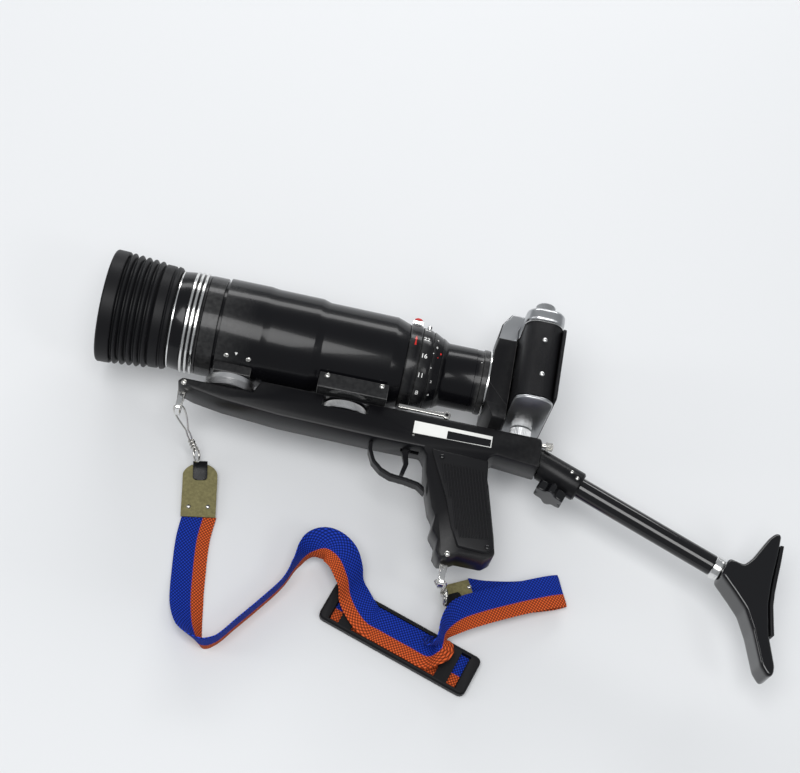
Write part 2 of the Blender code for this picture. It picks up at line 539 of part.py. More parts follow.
def shoulder_stock():
    direction = (math.cos(TUBE_ANGLE), math.sin(TUBE_ANGLE), 0)
    start = (*on_tube(0), 0)
    socket = turned("stock_socket", [
        (TUBE_R + 0.15, SOCKET_LENGTH), (SOCKET_R - 1.5, SOCKET_LENGTH), (SOCKET_R, SOCKET_LENGTH - 1.5), (SOCKET_R, -12),
        (TUBE_R + 0.15, -12)], SATIN, at=start, along=direction, steps=28, closed=True)
    keep = block("receiver_face", (0, STOCK_TOP - 60, -30), (SOCKET_FACE, STOCK_TOP + 20, 30), None, group=cutters)
    cut(socket, keep)
    tube_start = 9.0
    tube_end = tube_start + TUBE_LENGTH
    ring("stock_tube", TUBE_R, TUBE_R - TUBE_WALL, tube_start, tube_end, BLACK, at=start, along=direction, steps=24)
    disc("stock_collar", TUBE_R + 1.2, tube_end + GAP, tube_end + 8, SILVER, at=start, along=direction, steps=24)
    s = tube_end + 8 + GAP
    a = on_tube(s, 8.5)
    b = on_tube(s, -8.5)
    end = on_tube(s)
    shift = end - Vector((220.0, -126.0))
    rest = [(236, -121.5), (243, -114), (255, -94), (261, -87.5), (266, -88), (264.5, -106), (261, -130), (259.5, -152),
            (262, -178), (269, -204), (268.5, -212), (263.5, -214.5), (257, -206), (248, -178), (240, -160), (229, -147)]
    outline = [tuple(a)] + [(x + shift.x, y + shift.y) for x, y in rest] + [tuple(b)]
    slab("shoulder_rest", outline, -REST_HALF_WIDTH, REST_HALF_WIDTH, GLOSS, bevel=2.0, segments=2,
         at=(end.x, end.y, 0))
    face = [(265.1, -98), (263.6, -114), (261.7, -130), (260.6, -141), (260.2, -152), (261.6, -166), (263.0, -178)]
    inner = [(x + shift.x + 0.5, y + shift.y) for x, y in face]
    outer = [(x + 3.0, y) for x, y in reversed(inner)]
    slab("rest_pad", inner + outer, -REST_HALF_WIDTH + 2, REST_HALF_WIDTH - 2, RUBBER)
    down = Vector((math.sin(TUBE_ANGLE), -math.cos(TUBE_ANGLE)))
    knob_at = on_tube(24.0) + down * (SOCKET_R + GAP)
    lobes = 6
    count = lobes * 6
    star = [((12.5 + 2.0 * math.cos(lobes * i * math.tau / count)) * math.cos(i * math.tau / count),
             (12.5 + 2.0 * math.cos(lobes * i * math.tau / count)) * math.sin(i * math.tau / count))
            for i in range(count)]
    knob = slab("star_knob", star, 1.0, 10.0, GLOSS)
    knob.location = world((*knob_at, 0))
    knob.rotation_mode = "QUATERNION"
    knob.rotation_quaternion = Vector((down.x, down.y, 0)).to_track_quat("Z", "X")


# ---- sling ----

FRONT_LUG = (-257.0, STOCK_TOP - 19.0)
REAR_LUG = (-13.0, STOCK_TOP - 124.0)
SWIVEL_DROP = 13.0
SWIVEL_HALF = 7.0


def swivel(name, lug):
    """A lug under the stock and the wire loop that turns in it."""
    x, y = lug
    pin_y = y - 5.0
    body = slab(name + "_lug", [(x - 3.5, y), (x + 3.5, y), (x + 2.8, y - 7), (x, y - 8.4), (x - 2.8, y - 7)], -4, 4, STEEL)
    hole = disc(name + "_hole", WIRE_R + 0.3, -6, 6, None, at=(x, pin_y, 0), along=(0, 0, 1), steps=12, group=cutters)
    cut(body, hole)
    low = pin_y - SWIVEL_DROP
    loop = [(x, pin_y, SWIVEL_HALF), (x, low, SWIVEL_HALF), (x, low, -SWIVEL_HALF), (x, pin_y, -SWIVEL_HALF)]
    wire(name, loop, WIRE_R, STEEL, cyclic=True, at=(x, pin_y, 0), resolution=1)
    return Vector((x, pin_y - SWIVEL_DROP * 0.55, -SWIVEL_HALF))


def link(name, start, end, half_width, flat, radius):
    """A long wire loop from start to end, in the plane of its length and the flat direction."""
    along = (end - start).normalized()
    side = (flat - along * flat.dot(along)).normalized()
    turns = [math.radians(a) for a in range(90, 271, 30)]
    tail = [start + along * math.cos(a) * half_width + side * math.sin(a) * half_width for a in turns]
    nose = [end - along * math.cos(a) * half_width - side * math.sin(a) * half_width for a in turns]
    wire(name, tail + nose, radius, STEEL, cyclic=True, resolution=1)
    return along, side


def ribbon(name, route, width, thickness, material, per_span=3):
    """A band through (place, direction across the band) pairs, on a smooth curve."""
    places = [Vector(p) for p, _ in route]
    across = [Vector(w).normalized() for _, w in route]
    rows = []
    for i in range(len(route) - 1):
        quad = [places[max(i - 1, 0)], places[i], places[i + 1], places[min(i + 2, len(places) - 1)]]
        last = i == len(route) - 2
        for k in range(per_span + last):
            t = k / per_span
            point = 0.5 * (2 * quad[1] + (quad[2] - quad[0]) * t
                           + (2 * quad[0] - 5 * quad[1] + 4 * quad[2] - quad[3]) * t * t
                           + (3 * quad[1] - quad[0] - 3 * quad[2] + quad[3]) * t ** 3)
            rows.append((point, across[i].lerp(across[i + 1], t).normalized()))
    mesh = bpy.data.meshes.new(name)
    shape = bmesh.new()
    previous = None
    for i, (point, side) in enumerate(rows):
        ahead = rows[min(i + 1, len(rows) - 1)][0] - rows[max(i - 1, 0)][0]
        side = (side - ahead * side.dot(ahead) / ahead.length_squared).normalized()
        pair = [shape.verts.new((point + side * k * width / 2) * MM) for k in (-1, 1)]
        if previous:
            shape.faces.new((previous[0], previous[1], pair[1], pair[0]))
        previous = pair
    shape.to_mesh(mesh)
    shape.free()
    obj = add(name, mesh, material)
    wall = obj.modifiers.new("thickness", "SOLIDIFY")
    wall.thickness = thickness * MM
    wall.offset = 0
    return obj


def ground(points):
    """Route points whose height is measured from the ground."""
    return [((x, y, z - AXIS_HEIGHT), w) for (x, y, z), w in points]


PAD_CENTRE = (-34.0, -221.0)
PAD_ANGLE = math.atan2(-42.0, 126.5)
PAD_ALONG = Vector((math.cos(PAD_ANGLE), math.sin(PAD_ANGLE), 0))
PAD_ACROSS = Vector((PAD_ALONG.y, -PAD_ALONG.x, 0))


def on_pad(along, height):
    place = Vector((*PAD_CENTRE, height)) + PAD_ALONG * along
    return tuple(place), tuple(PAD_ACROSS)


WEBBING_ROUTE = [
    ((-223, -146, 2.0), (1, 0.2, 0)), ((-224, -170, 1.4), (1, 0.1, 0)), ((-221, -200, 1.4), (1, 0.0, 0)),
    ((-217, -226, 4.0), (0.95, 0.1, -0.2)), ((-210, -248, 10.0), (0.7, 0.1, -0.6)),
    ((-199, -261, 15.0), (0.2, 0.0, -1)), ((-186, -257, 15.2), (0, 0, -1)), ((-171, -238, 15.2), (0, 0, -1)),
    ((-155, -217, 15.2), (0, 0, -1)), ((-141, -197, 16.0), (0, 0, -1)), ((-133, -179, 20.0), (0.0, -0.2, -1)),
    ((-124, -166, 27.0), (-0.1, -0.5, -0.8)), ((-111, -161, 33.0), (-0.2, -0.8, -0.5)),
    ((-97, -167, 32.0), (-0.3, -0.9, -0.2)), ((-87, -180, 25.0), (-0.35, -0.93, 0)),
    ((-80, -194, 15.0), (-0.33, -0.95, 0)), on_pad(-33, 11.5), on_pad(-18, 8.2), on_pad(10, 8.2), on_pad(29, 11.5),
    ((-1, -223, 25.0), (0.3, -0.2, -1)), ((1, -211, 27.0), (0.3, -0.4, -0.9)),
    ((11, -197, 25.0), (0.4, -0.8, -0.45)), ((30, -184, 19.0), (0.41, -0.91, -0.1)),
    ((60, -168, 14.0), (0.41, -0.91, 0)), ((86, -156, 12.0), (0.41, -0.91, 0)), ((97, -151, 7.0), (0.41, -0.91, 0)),
    ((86, -155, 2.2), (0.41, -0.91, 0)), ((60, -163, 1.4), (0.3, -0.95, 0)), ((34, -168, 1.6), (0.15, -0.99, 0)),
    ((17, -170, 4.5), (0.1, -1, 0)),
]


def sling():
    front = swivel("front_swivel", FRONT_LUG)
    rear = swivel("rear_swivel", REAR_LUG)
    hook_wire = 1.0
    ring_wire = 1.2
    front_end = Vector((-240, -96, 26 - AXIS_HEIGHT))
    rear_end = Vector((-5, -183, 30 - AXIS_HEIGHT))
    tabs = [("front", front, front_end, Vector((1, 0, 0)),
             [((-232, -104.5, 9.0), (1, 0.2, 0)), ((-229, -120, 6.0), (1, 0.2, 0)), ((-224, -150, 4.4), (1, 0.2, 0))]),
            ("rear", rear, rear_end, Vector((1, 0, 0)),
             [((1, -183, 11), (0.2, -1, 0)), ((9, -178, 8), (0.2, -1, 0)), ((22, -171, 6.8), (0.1, -1, 0))])]
    for side_name, top, end, flat, tab in tabs:
        along, side = link(side_name + "_snap_hook", top, end, 4.2, flat, hook_wire)
        centre = end + along * (4.2 + 4.4)
        across = along.cross(side)
        steps = 14
        loop = [centre + (along * math.cos(i * math.tau / steps) + across * math.sin(i * math.tau / steps)) * 6.6
                for i in range(steps)]
        wire(side_name + "_d_ring", loop, ring_wire, STEEL, cyclic=True, resolution=1)
        ribbon(side_name + "_tab", ground(tab), WEBBING_WIDTH + 1, 2.2, SUEDE)
    ribbon("strap_webbing", ground(WEBBING_ROUTE), WEBBING_WIDTH, WEBBING_THICKNESS, WEBBING)
    shoulder_pad()


def shoulder_pad():
    """A rubber frame whose two crossbars hold a short strip of webbing."""
    half_l = PAD_LENGTH / 2
    half_w = PAD_WIDTH / 2
    rim = (PAD_WIDTH - WEBBING_WIDTH) / 2 - 0.8
    turn = Matrix.Rotation(PAD_ANGLE, 4, "Z")
    pad = slab("shoulder_pad", rounded((-half_l, -half_w), (half_l, half_w), 5, 3), 0, 9.0, RUBBER, bevel=1.5)
    inner = half_l - 9
    bar = (half_l - 30, half_l - 18)
    tunnel = block("pad_tunnel", (-inner, -half_w + rim, 1.8), (inner, half_w - rim, 4.2), None, group=cutters)
    wells = [block(f"pad_well_{i}", (low, -half_w + rim, 3.8), (high, half_w - rim, 12), None, group=cutters)
             for i, (low, high) in enumerate([(-inner, -bar[1]), (-bar[0], bar[0]), (bar[1], inner)])]
    cut(pad, tunnel, *wells)
    strip = block("pad_strip", (-inner + 1, -WEBBING_WIDTH / 2, 2.2), (inner - 1, WEBBING_WIDTH / 2, 3.6), WEBBING)
    for obj in (pad, tunnel, *wells, strip):
        obj.location = world((*PAD_CENTRE, -AXIS_HEIGHT))
        obj.rotation_euler = turn.to_euler()


lens_barrel()
front_cell()
lens_rings()
lens_underside()
COVER_TOP = camera()
reflex_mirror()
camera_controls(COVER_TOP)
PIVOT_Y = gunstock()
grip_panels()
trigger_group(PIVOT_Y)
shoulder_stock()
sling()
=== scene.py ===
import math

import bmesh
import bpy
from bpy.props import FloatProperty, FloatVectorProperty, IntProperty, PointerProperty
from mathutils import Matrix, Vector


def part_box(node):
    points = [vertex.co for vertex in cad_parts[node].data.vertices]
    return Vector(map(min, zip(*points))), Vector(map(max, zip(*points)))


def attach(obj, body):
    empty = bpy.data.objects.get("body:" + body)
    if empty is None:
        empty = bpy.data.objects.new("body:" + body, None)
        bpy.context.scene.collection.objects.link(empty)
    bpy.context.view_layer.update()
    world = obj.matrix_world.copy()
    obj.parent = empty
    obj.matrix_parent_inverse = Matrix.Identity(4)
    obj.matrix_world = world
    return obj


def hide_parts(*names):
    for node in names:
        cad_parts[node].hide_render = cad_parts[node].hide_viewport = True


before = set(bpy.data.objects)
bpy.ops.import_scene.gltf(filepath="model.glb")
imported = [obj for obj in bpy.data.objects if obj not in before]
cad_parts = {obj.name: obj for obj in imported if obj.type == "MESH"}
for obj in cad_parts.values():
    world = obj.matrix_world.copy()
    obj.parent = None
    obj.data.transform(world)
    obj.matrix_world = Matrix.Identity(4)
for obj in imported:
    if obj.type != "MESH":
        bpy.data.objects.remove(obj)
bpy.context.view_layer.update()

bl_info = {
    "name": "Camera Gun",
    "version": (1, 0, 0),
    "blender": (4, 5, 0),
    "location": "3D View > Sidebar > Camera Gun",
    "description": "Dresses a telephoto camera gun with its finishes and fine pieces",
    "category": "Object",
}

MM = 0.001
MOUNT_REAR = -3.3
FLANGE_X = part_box("lens_mount_ring")[1][0] - MOUNT_REAR * MM
AXIS_Z = (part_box("lens_barrel")[0][2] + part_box("lens_barrel")[1][2]) / 2
AXIS_HEIGHT = AXIS_Z / MM
BARREL_R = (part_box("lens_barrel")[1][1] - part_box("lens_barrel")[0][1]) / 2 / MM
STOCK_TOP = -(BARREL_R + 3.3)
HOOD_R = 49.0
HOOD_WALL = 2.2
RING_SEAT_R = 33.0
REAR_TUBE_R = 27.6
STOCK_FACE = 16.0
PANEL_FACE = 19.2
TUBE_ANGLE = math.radians(-20.5)
WEBBING_WIDTH = 29.0
LENS_WALL = 3.2
SLIDE_GAP = 0.5
FRONT_BORE_R = BARREL_R - 2 * LENS_WALL - SLIDE_GAP
SLEEVE_R = BARREL_R - LENS_WALL - SLIDE_GAP
BARREL_MID_R = BARREL_R - 3.1
REAR_BORE_R = REAR_TUBE_R - LENS_WALL
SEAT_FRONT, SEAT_REAR = -76.8, -55.2
KNOB_X = -71.35
KNOB_WAY = Vector((0, 0.93, 0.37))
GUN_UP = (0, 1, 0)
SWEEP_RADIUS = 10.0
GAP = 0.3
VIEW_PLACE = (-0.1614, -0.6577, 1.4374)
VIEW_FORWARD = Vector((0.0349, 0.4224, -0.9058))
VIEW_UP = Vector((-0.2027, 0.8905, 0.4074))
VIEW_ANGLE = math.radians(25.75)
FINISH = {}
GROUPS = {}
TREES = {}


# ---- places and shapes ----

def gun(x, y, z=0.0):
    """A point in millimetres from the middle of the lens flange, in the frame's metres."""
    return Vector((FLANGE_X + x * MM, y * MM, AXIS_Z + z * MM))


def on_tube(along, side=0.0, up=0.0):
    """A point along the stock tube, to its upper side and off its middle plane."""
    direction = Vector((math.cos(TUBE_ANGLE), math.sin(TUBE_ANGLE)))
    place = Vector((50.0, STOCK_TOP - 16.0)) + direction * along + Vector((-direction.y, direction.x)) * side
    return place.x, place.y, up


def span(node, axis=0):
    """A node's lowest and highest place along an axis, in millimetres from the lens flange."""
    start = (FLANGE_X, 0.0, AXIS_Z)[axis]
    return tuple((corner[axis] - start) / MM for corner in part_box(node))


def half(node, axis=0):
    """Half of a node's size along an axis, in millimetres."""
    low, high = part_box(node)
    return (high[axis] - low[axis]) / 2 / MM


def upright_axis(node):
    """The foot of a wheel's axis that stands along the gun's own upright."""
    return gun(sum(span(node)) / 2, 0)


def arc(centre, radius, start, end, steps):
    """Points on an arc, its angles in degrees."""
    angles = [math.radians(start + (end - start) * i / steps) for i in range(steps + 1)]
    return [(centre[0] + radius * math.cos(a), centre[1] + radius * math.sin(a)) for a in angles]


def rounded(low, high, radius, steps=8):
    """The outline of a rectangle with rounded corners."""
    corners = [((high[0] - radius, high[1] - radius), 0), ((low[0] + radius, high[1] - radius), 90),
               ((low[0] + radius, low[1] + radius), 180), ((high[0] - radius, low[1] + radius), 270)]
    return [p for centre, start in corners for p in arc(centre, radius, start, start + 90, steps)]


def add(name, mesh, material=None):
    """Put a mesh in the scene, in one of the finishes."""
    piece = bpy.data.objects.new(name, mesh)
    bpy.context.scene.collection.objects.link(piece)
    if material:
        mesh.materials.clear()
        mesh.materials.append(FINISH[material])
    return piece


def evaluated(piece):
    """A plain mesh of what a piece's modifiers or curve make."""
    bpy.context.view_layer.update()
    return bpy.data.meshes.new_from_object(piece.evaluated_get(bpy.context.evaluated_depsgraph_get()))


def settle(piece):
    """Apply the modifiers to the piece's own mesh."""
    mesh = evaluated(piece)
    name = piece.data.name
    old = piece.data
    piece.modifiers.clear()
    piece.data = mesh
    bpy.data.meshes.remove(old)
    mesh.name = name
    return piece


def tidy(mesh, normals=True, merge=0.000002):
    """Merge doubles, drop collapsed faces and point the faces outwards."""
    shape = bmesh.new()
    shape.from_mesh(mesh)
    bmesh.ops.remove_doubles(shape, verts=shape.verts, dist=merge)
    bmesh.ops.dissolve_degenerate(shape, edges=shape.edges, dist=merge / 2)
    if normals:
        bmesh.ops.recalc_face_normals(shape, faces=shape.faces)
    shape.to_mesh(mesh)
    shape.free()


def shade(piece, degrees=32):
    """Smooth shading that stays sharp past an angle."""
    piece.data.shade_smooth()
    piece.data.set_sharp_from_angle(angle=math.radians(degrees))
    return piece


def belong(piece, body, slot, *nodes):
    """Say which body a piece rides and the frame nodes that it replaces; the slot is not used."""
    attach(piece, body)
    if nodes:
        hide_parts(*nodes)
    return piece


def along_matrix(origin, direction):
    """Places local Z along a direction from an origin."""
    return Matrix.Translation(origin) @ Vector(direction).to_track_quat("Z", "Y").to_matrix().to_4x4()


# ---- geometry node trees ----

def new_group(kind, name, inputs, outputs):
    """A node group with named sockets, and its input and output nodes."""
    group = bpy.data.node_groups.new(name, kind)
    for side, sockets in (("INPUT", inputs), ("OUTPUT", outputs)):
        for label, socket_type, value in sockets:
            socket = group.interface.new_socket(label, in_out=side, socket_type="NodeSocket" + socket_type)
            if value is not None:
                socket.default_value = value
    return group, group.nodes.new("NodeGroupInput"), group.nodes.new("NodeGroupOutput")


def close_tree(group, start, end, made):
    """Every tree ends in Realize Instances and Set Material."""
    real = group.nodes.new("GeometryNodeRealizeInstances")
    paint = group.nodes.new("GeometryNodeSetMaterial")
    group.links.new(made, real.inputs["Geometry"])
    group.links.new(real.outputs["Geometry"], paint.inputs["Geometry"])
    group.links.new(start.outputs["Material"], paint.inputs["Material"])
    group.links.new(paint.outputs["Geometry"], end.inputs["Geometry"])


def turning_tree():
    """Sweep closed profiles about the Z axis."""
    group, start, end = new_group("GeometryNodeTree", "turned_profile", [
        ("Geometry", "Geometry", None), ("Sweep Radius", "Float", SWEEP_RADIUS * MM), ("Steps", "Int", 128),
        ("Material", "Material", None)], [("Geometry", "Geometry", None)])
    profile = group.nodes.new("GeometryNodeMeshToCurve")
    circle = group.nodes.new("GeometryNodeCurvePrimitiveCircle")
    sweep = group.nodes.new("GeometryNodeCurveToMesh")
    link = group.links.new
    link(start.outputs["Geometry"], profile.inputs["Mesh"])
    link(start.outputs["Steps"], circle.inputs["Resolution"])
    link(start.outputs["Sweep Radius"], circle.inputs["Radius"])
    link(circle.outputs["Curve"], sweep.inputs["Curve"])
    link(profile.outputs["Curve"], sweep.inputs["Profile Curve"])
    close_tree(group, start, end, sweep.outputs["Mesh"])
    return group


def facing_instances(group, start, attribute):
    """Instance on Points with its Z axis turned to a vector attribute."""
    facing = group.nodes.new("GeometryNodeInputNamedAttribute")
    facing.data_type = "FLOAT_VECTOR"
    facing.inputs["Name"].default_value = attribute
    turn = group.nodes.new("FunctionNodeAlignRotationToVector")
    turn.axis = "Z"
    spread = group.nodes.new("GeometryNodeInstanceOnPoints")
    group.links.new(facing.outputs["Attribute"], turn.inputs["Vector"])
    group.links.new(turn.outputs["Rotation"], spread.inputs["Rotation"])
    group.links.new(start.outputs["Geometry"], spread.inputs["Points"])
    return facing, spread


def fastener_tree():
    """Put a screw or rivet head on every point, out along its facing."""
    group, start, end = new_group("GeometryNodeTree", "fasteners", [
        ("Geometry", "Geometry", None), ("Head", "Object", None), ("Head Radius", "Float", 0.0025),
        ("Material", "Material", None)], [("Geometry", "Geometry", None)])
    head = group.nodes.new("GeometryNodeObjectInfo")
    head.inputs["As Instance"].default_value = True
    _, spread = facing_instances(group, start, "facing")
    link = group.links.new
    link(start.outputs["Head"], head.inputs["Object"])
    link(head.outputs["Geometry"], spread.inputs["Instance"])
    link(start.outputs["Head Radius"], spread.inputs["Scale"])
    close_tree(group, start, end, spread.outputs["Instances"])
    return group


def bar_tree():
    """Lay a round bar on every point, along and as long as its run."""
    group, start, end = new_group("GeometryNodeTree", "ribs", [
        ("Geometry", "Geometry", None), ("Bar Radius", "Float", 0.0005), ("Sides", "Int", 8),
        ("Material", "Material", None)], [("Geometry", "Geometry", None)])
    run, spread = facing_instances(group, start, "run")
    bar = group.nodes.new("GeometryNodeMeshCylinder")
    bar.inputs["Depth"].default_value = 1.0
    length = group.nodes.new("ShaderNodeVectorMath")
    length.operation = "LENGTH"
    scale = group.nodes.new("ShaderNodeCombineXYZ")
    scale.inputs["X"].default_value = scale.inputs["Y"].default_value = 1.0
    link = group.links.new
    link(start.outputs["Bar Radius"], bar.inputs["Radius"])
    link(start.outputs["Sides"], bar.inputs["Vertices"])
    link(run.outputs["Attribute"], length.inputs[0])
    link(length.outputs["Value"], scale.inputs["Z"])
    link(scale.outputs["Vector"], spread.inputs["Scale"])
    link(bar.outputs["Mesh"], spread.inputs["Instance"])
    close_tree(group, start, end, spread.outputs["Instances"])
    return group


def grow(piece, tree, **values):
    """Run a tree on a piece, keep the plain mesh and drop the modifier."""
    modifier = piece.modifiers.new(tree, "NODES")
    modifier.node_group = TREES[tree]
    sockets = {item.name: item.identifier for item in TREES[
        tree].interface.items_tree if item.in_out == "INPUT"}
    for label, value in values.items():
        modifier[sockets[label.replace("_", " ")]] = value
    return settle(piece)


def turned(name, profiles, material, origin=None, direction=(-1, 0, 0), steps=128, sharp=32):
    """Turn closed profiles of (distance along the axis, radius), in millimetres."""
    points, edges = [], []
    for profile in profiles:
        first = len(points)
        points += [((r - SWEEP_RADIUS) * MM, -z * MM, 0) for z, r in profile]
        edges += [(first + i, first + (i + 1) % len(profile)) for i in range(len(profile))]
    mesh = bpy.data.meshes.new(name)
    mesh.from_pydata(points, edges, [])
    piece = grow(add(name, mesh), "turned", Sweep_Radius=SWEEP_RADIUS * MM, Steps=steps,
        Material=FINISH[material])
    tidy(piece.data)
    piece.data.transform(along_matrix(gun(0, 0) if origin is None else origin, direction))
    return shade(piece, sharp)


def lens_turned(name, outlines, material, steps=128):
    """Turn closed outlines of (X, radius) about the bore axis."""
    return turned(name, [[(-x, r) for x, r in outline] for outline in outlines], material, steps=steps)


def pointed(name, places, vectors, attribute):
    """Loose points that carry a vector each, for a tree to read."""
    mesh = bpy.data.meshes.new(name)
    mesh.from_pydata([tuple(p) for p in places], [], [])
    store = mesh.attributes.new(attribute, "FLOAT_VECTOR", "POINT")
    for item, vector in zip(store.data, vectors):
        item.vector = vector
    return add(name, mesh)


def bars(name, runs, radius, material, sides=8):
    """Round bars between pairs of points."""
    middles = [(a + b) / 2 for a, b in runs]
    piece = pointed(name, middles, [b - a for a, b in runs], "run")
    grow(piece, "bars", Bar_Radius=radius * MM, Sides=sides, Material=FINISH[material])
    return shade(piece, 50)


def knurl(name, origin, direction, radius, low, high, count, bar_radius, material):
    """Ridges round a wheel's rim."""
    place = along_matrix(origin, direction)
    runs = []
    for i in range(count):
        a = i * math.tau / count
        x, y = radius * MM * math.cos(a), radius * MM * math.sin(a)
        runs.append((place @ Vector((x, y, low * MM)), place @ Vector((x, y, high * MM))))
    return bars(name, runs, bar_radius, material, 6)


# ---- meshes ----

PLANES = {
    "XY": Matrix.Identity(3),
    "XZ": Matrix(((1, 0, 0), (0, 0, -1), (0, 1, 0))),
    "YZ": Matrix(((0, 0, 1), (1, 0, 0), (0, 1, 0))),
}


def slab(name, outline, low, high, material, plane="XY", bevel=0.0, segments=3, holes=()):
    """Extrude an outline, given in millimetres from the bore axis, along a plane's third axis."""
    curve = bpy.data.curves.new(name, "CURVE")
    curve.dimensions = "2D"
    curve.fill_mode = "BOTH"
    curve.extrude = (high - low) / 2 * MM
    for loop in (outline, *holes):
        spline = curve.splines.new("POLY")
        spline.points.add(len(loop) - 1)
        for point, (a, b) in zip(spline.points, loop):
            point.co = (a * MM, b * MM, 0, 1)
        spline.use_cyclic_u = True
    flat = bpy.data.objects.new(name, curve)
    bpy.context.scene.collection.objects.link(flat)
    mesh = evaluated(flat)
    bpy.data.objects.remove(flat)
    bpy.data.curves.remove(curve)
    middle = (low + high) / 2 * MM * (-1 if plane == "XZ" else 1)
    mesh.transform(Matrix.Translation(gun(0, 0)) @ PLANES[plane].to_4x4() @ Matrix.Translation(
        (0, 0, middle)))
    mesh.name = name
    shape = bmesh.new()
    shape.from_mesh(mesh)
    bmesh.ops.remove_doubles(shape, verts=shape.verts, dist=0.00001)
    bmesh.ops.dissolve_limit(shape, angle_limit=0.01, verts=shape.verts, edges=shape.edges)
    bmesh.ops.recalc_face_normals(shape, faces=shape.faces)
    shape.to_mesh(mesh)
    shape.free()
    piece = add(name, mesh, material)
    return soften_edges(piece, bevel, segments) if bevel else shade(piece)


def soften_edges(piece, width, segments=3, angle=35):
    """Round the sharp edges and keep the flats flat."""
    edge = piece.modifiers.new("edges", "BEVEL")
    edge.width = width * MM
    edge.segments = segments
    edge.limit_method = "ANGLE"
    edge.angle_limit = math.radians(angle)
    edge.harden_normals = False
    settle(piece)
    return shade(piece, 40)


def carve(piece, *tools):
    """Cut tools out of a piece and drop them."""
    for tool in tools:
        hole = piece.modifiers.new(tool.name, "BOOLEAN")
        hole.object = tool
        hole.solver = "EXACT"
    settle(piece)
    for tool in tools:
        bpy.data.objects.remove(tool)
    return piece


def block(name, low, high):
    """A plain box, as a tool for carving."""
    outline = [(low[0], low[1]), (high[0], low[1]), (high[0], high[1]), (low[0], high[1])]
    return slab(name, outline, low[2], high[2], "camera_black")


def fine_copy(node, material, bevel=0.0, segments=2, name=None):
    """A merged, edge-rounded copy of a frame node."""
    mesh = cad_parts[node].data.copy()
    shape = bmesh.new()
    shape.from_mesh(mesh)
    bmesh.ops.remove_doubles(shape, verts=shape.verts, dist=0.000002)
    bmesh.ops.dissolve_limit(shape, angle_limit=0.008, verts=shape.verts, edges=shape.edges)
    shape.to_mesh(mesh)
    shape.free()
    piece = add(name or node + "_finish", mesh, material)
    if mesh.has_custom_normals:
        mesh.attributes.remove(mesh.attributes["custom_normal"])
    return soften_edges(piece, bevel, segments) if bevel else shade(piece, 40)


def moulded(node, material, grain, rounds, name=None):
    """A copy of a frame node with every edge flowed together, as on a moulding."""
    piece = fine_copy(node, material, name=name)
    remesh = piece.modifiers.new("flow", "REMESH")
    remesh.mode = "VOXEL"
    remesh.voxel_size = grain * MM
    relax = piece.modifiers.new("relax", "SMOOTH")
    relax.factor = 0.5
    relax.iterations = rounds
    settle(piece)
    piece.data.materials.clear()
    piece.data.materials.append(FINISH[material])
    piece.data.shade_smooth()
    return piece


def wire(name, points, radius, material, cyclic=False, sides=5):
    """A round wire through points in metres, on a smooth curve, as a mesh."""
    curve = bpy.data.curves.new(name, "CURVE")
    curve.dimensions = "3D"
    curve.bevel_depth = radius * MM
    curve.bevel_resolution = sides
    curve.use_fill_caps = True
    curve.resolution_u = 4
    spline = curve.splines.new("NURBS")
    spline.points.add(len(points) - 1)
    for point, place in zip(spline.points, points):
        point.co = (*place, 1)
    spline.order_u = 3
    spline.use_cyclic_u = cyclic
    spline.use_endpoint_u = not cyclic
    bent = bpy.data.objects.new(name, curve)
    bpy.context.scene.collection.objects.link(bent)
    mesh = evaluated(bent)
    bpy.data.objects.remove(bent)
    bpy.data.curves.remove(curve)
    mesh.name = name
    tidy(mesh)
    return shade(add(name, mesh, material), 50)


def smooth_route(route, per_span):
    """(place, across) rows on a smooth curve through a route's own points."""
    places = [p for p, _ in route]
    rows = []
    for i in range(len(route) - 1):
        a, b, c, d = (places[max(i - 1, 0)], places[i], places[i + 1], places[min(i + 2, len(places) - 1)])
        last = i == len(route) - 2
        for k in range(per_span + last):
            t = k / per_span
            point = 0.5 * (2 * b + (c - a) * t + (2 * a - 5 * b + 4 * c - d) * t * t + (
                3 * b - a - 3 * c + d) * t ** 3)
            rows.append((point, route[i][1].lerp(route[i + 1][1], t).normalized()))
    return rows


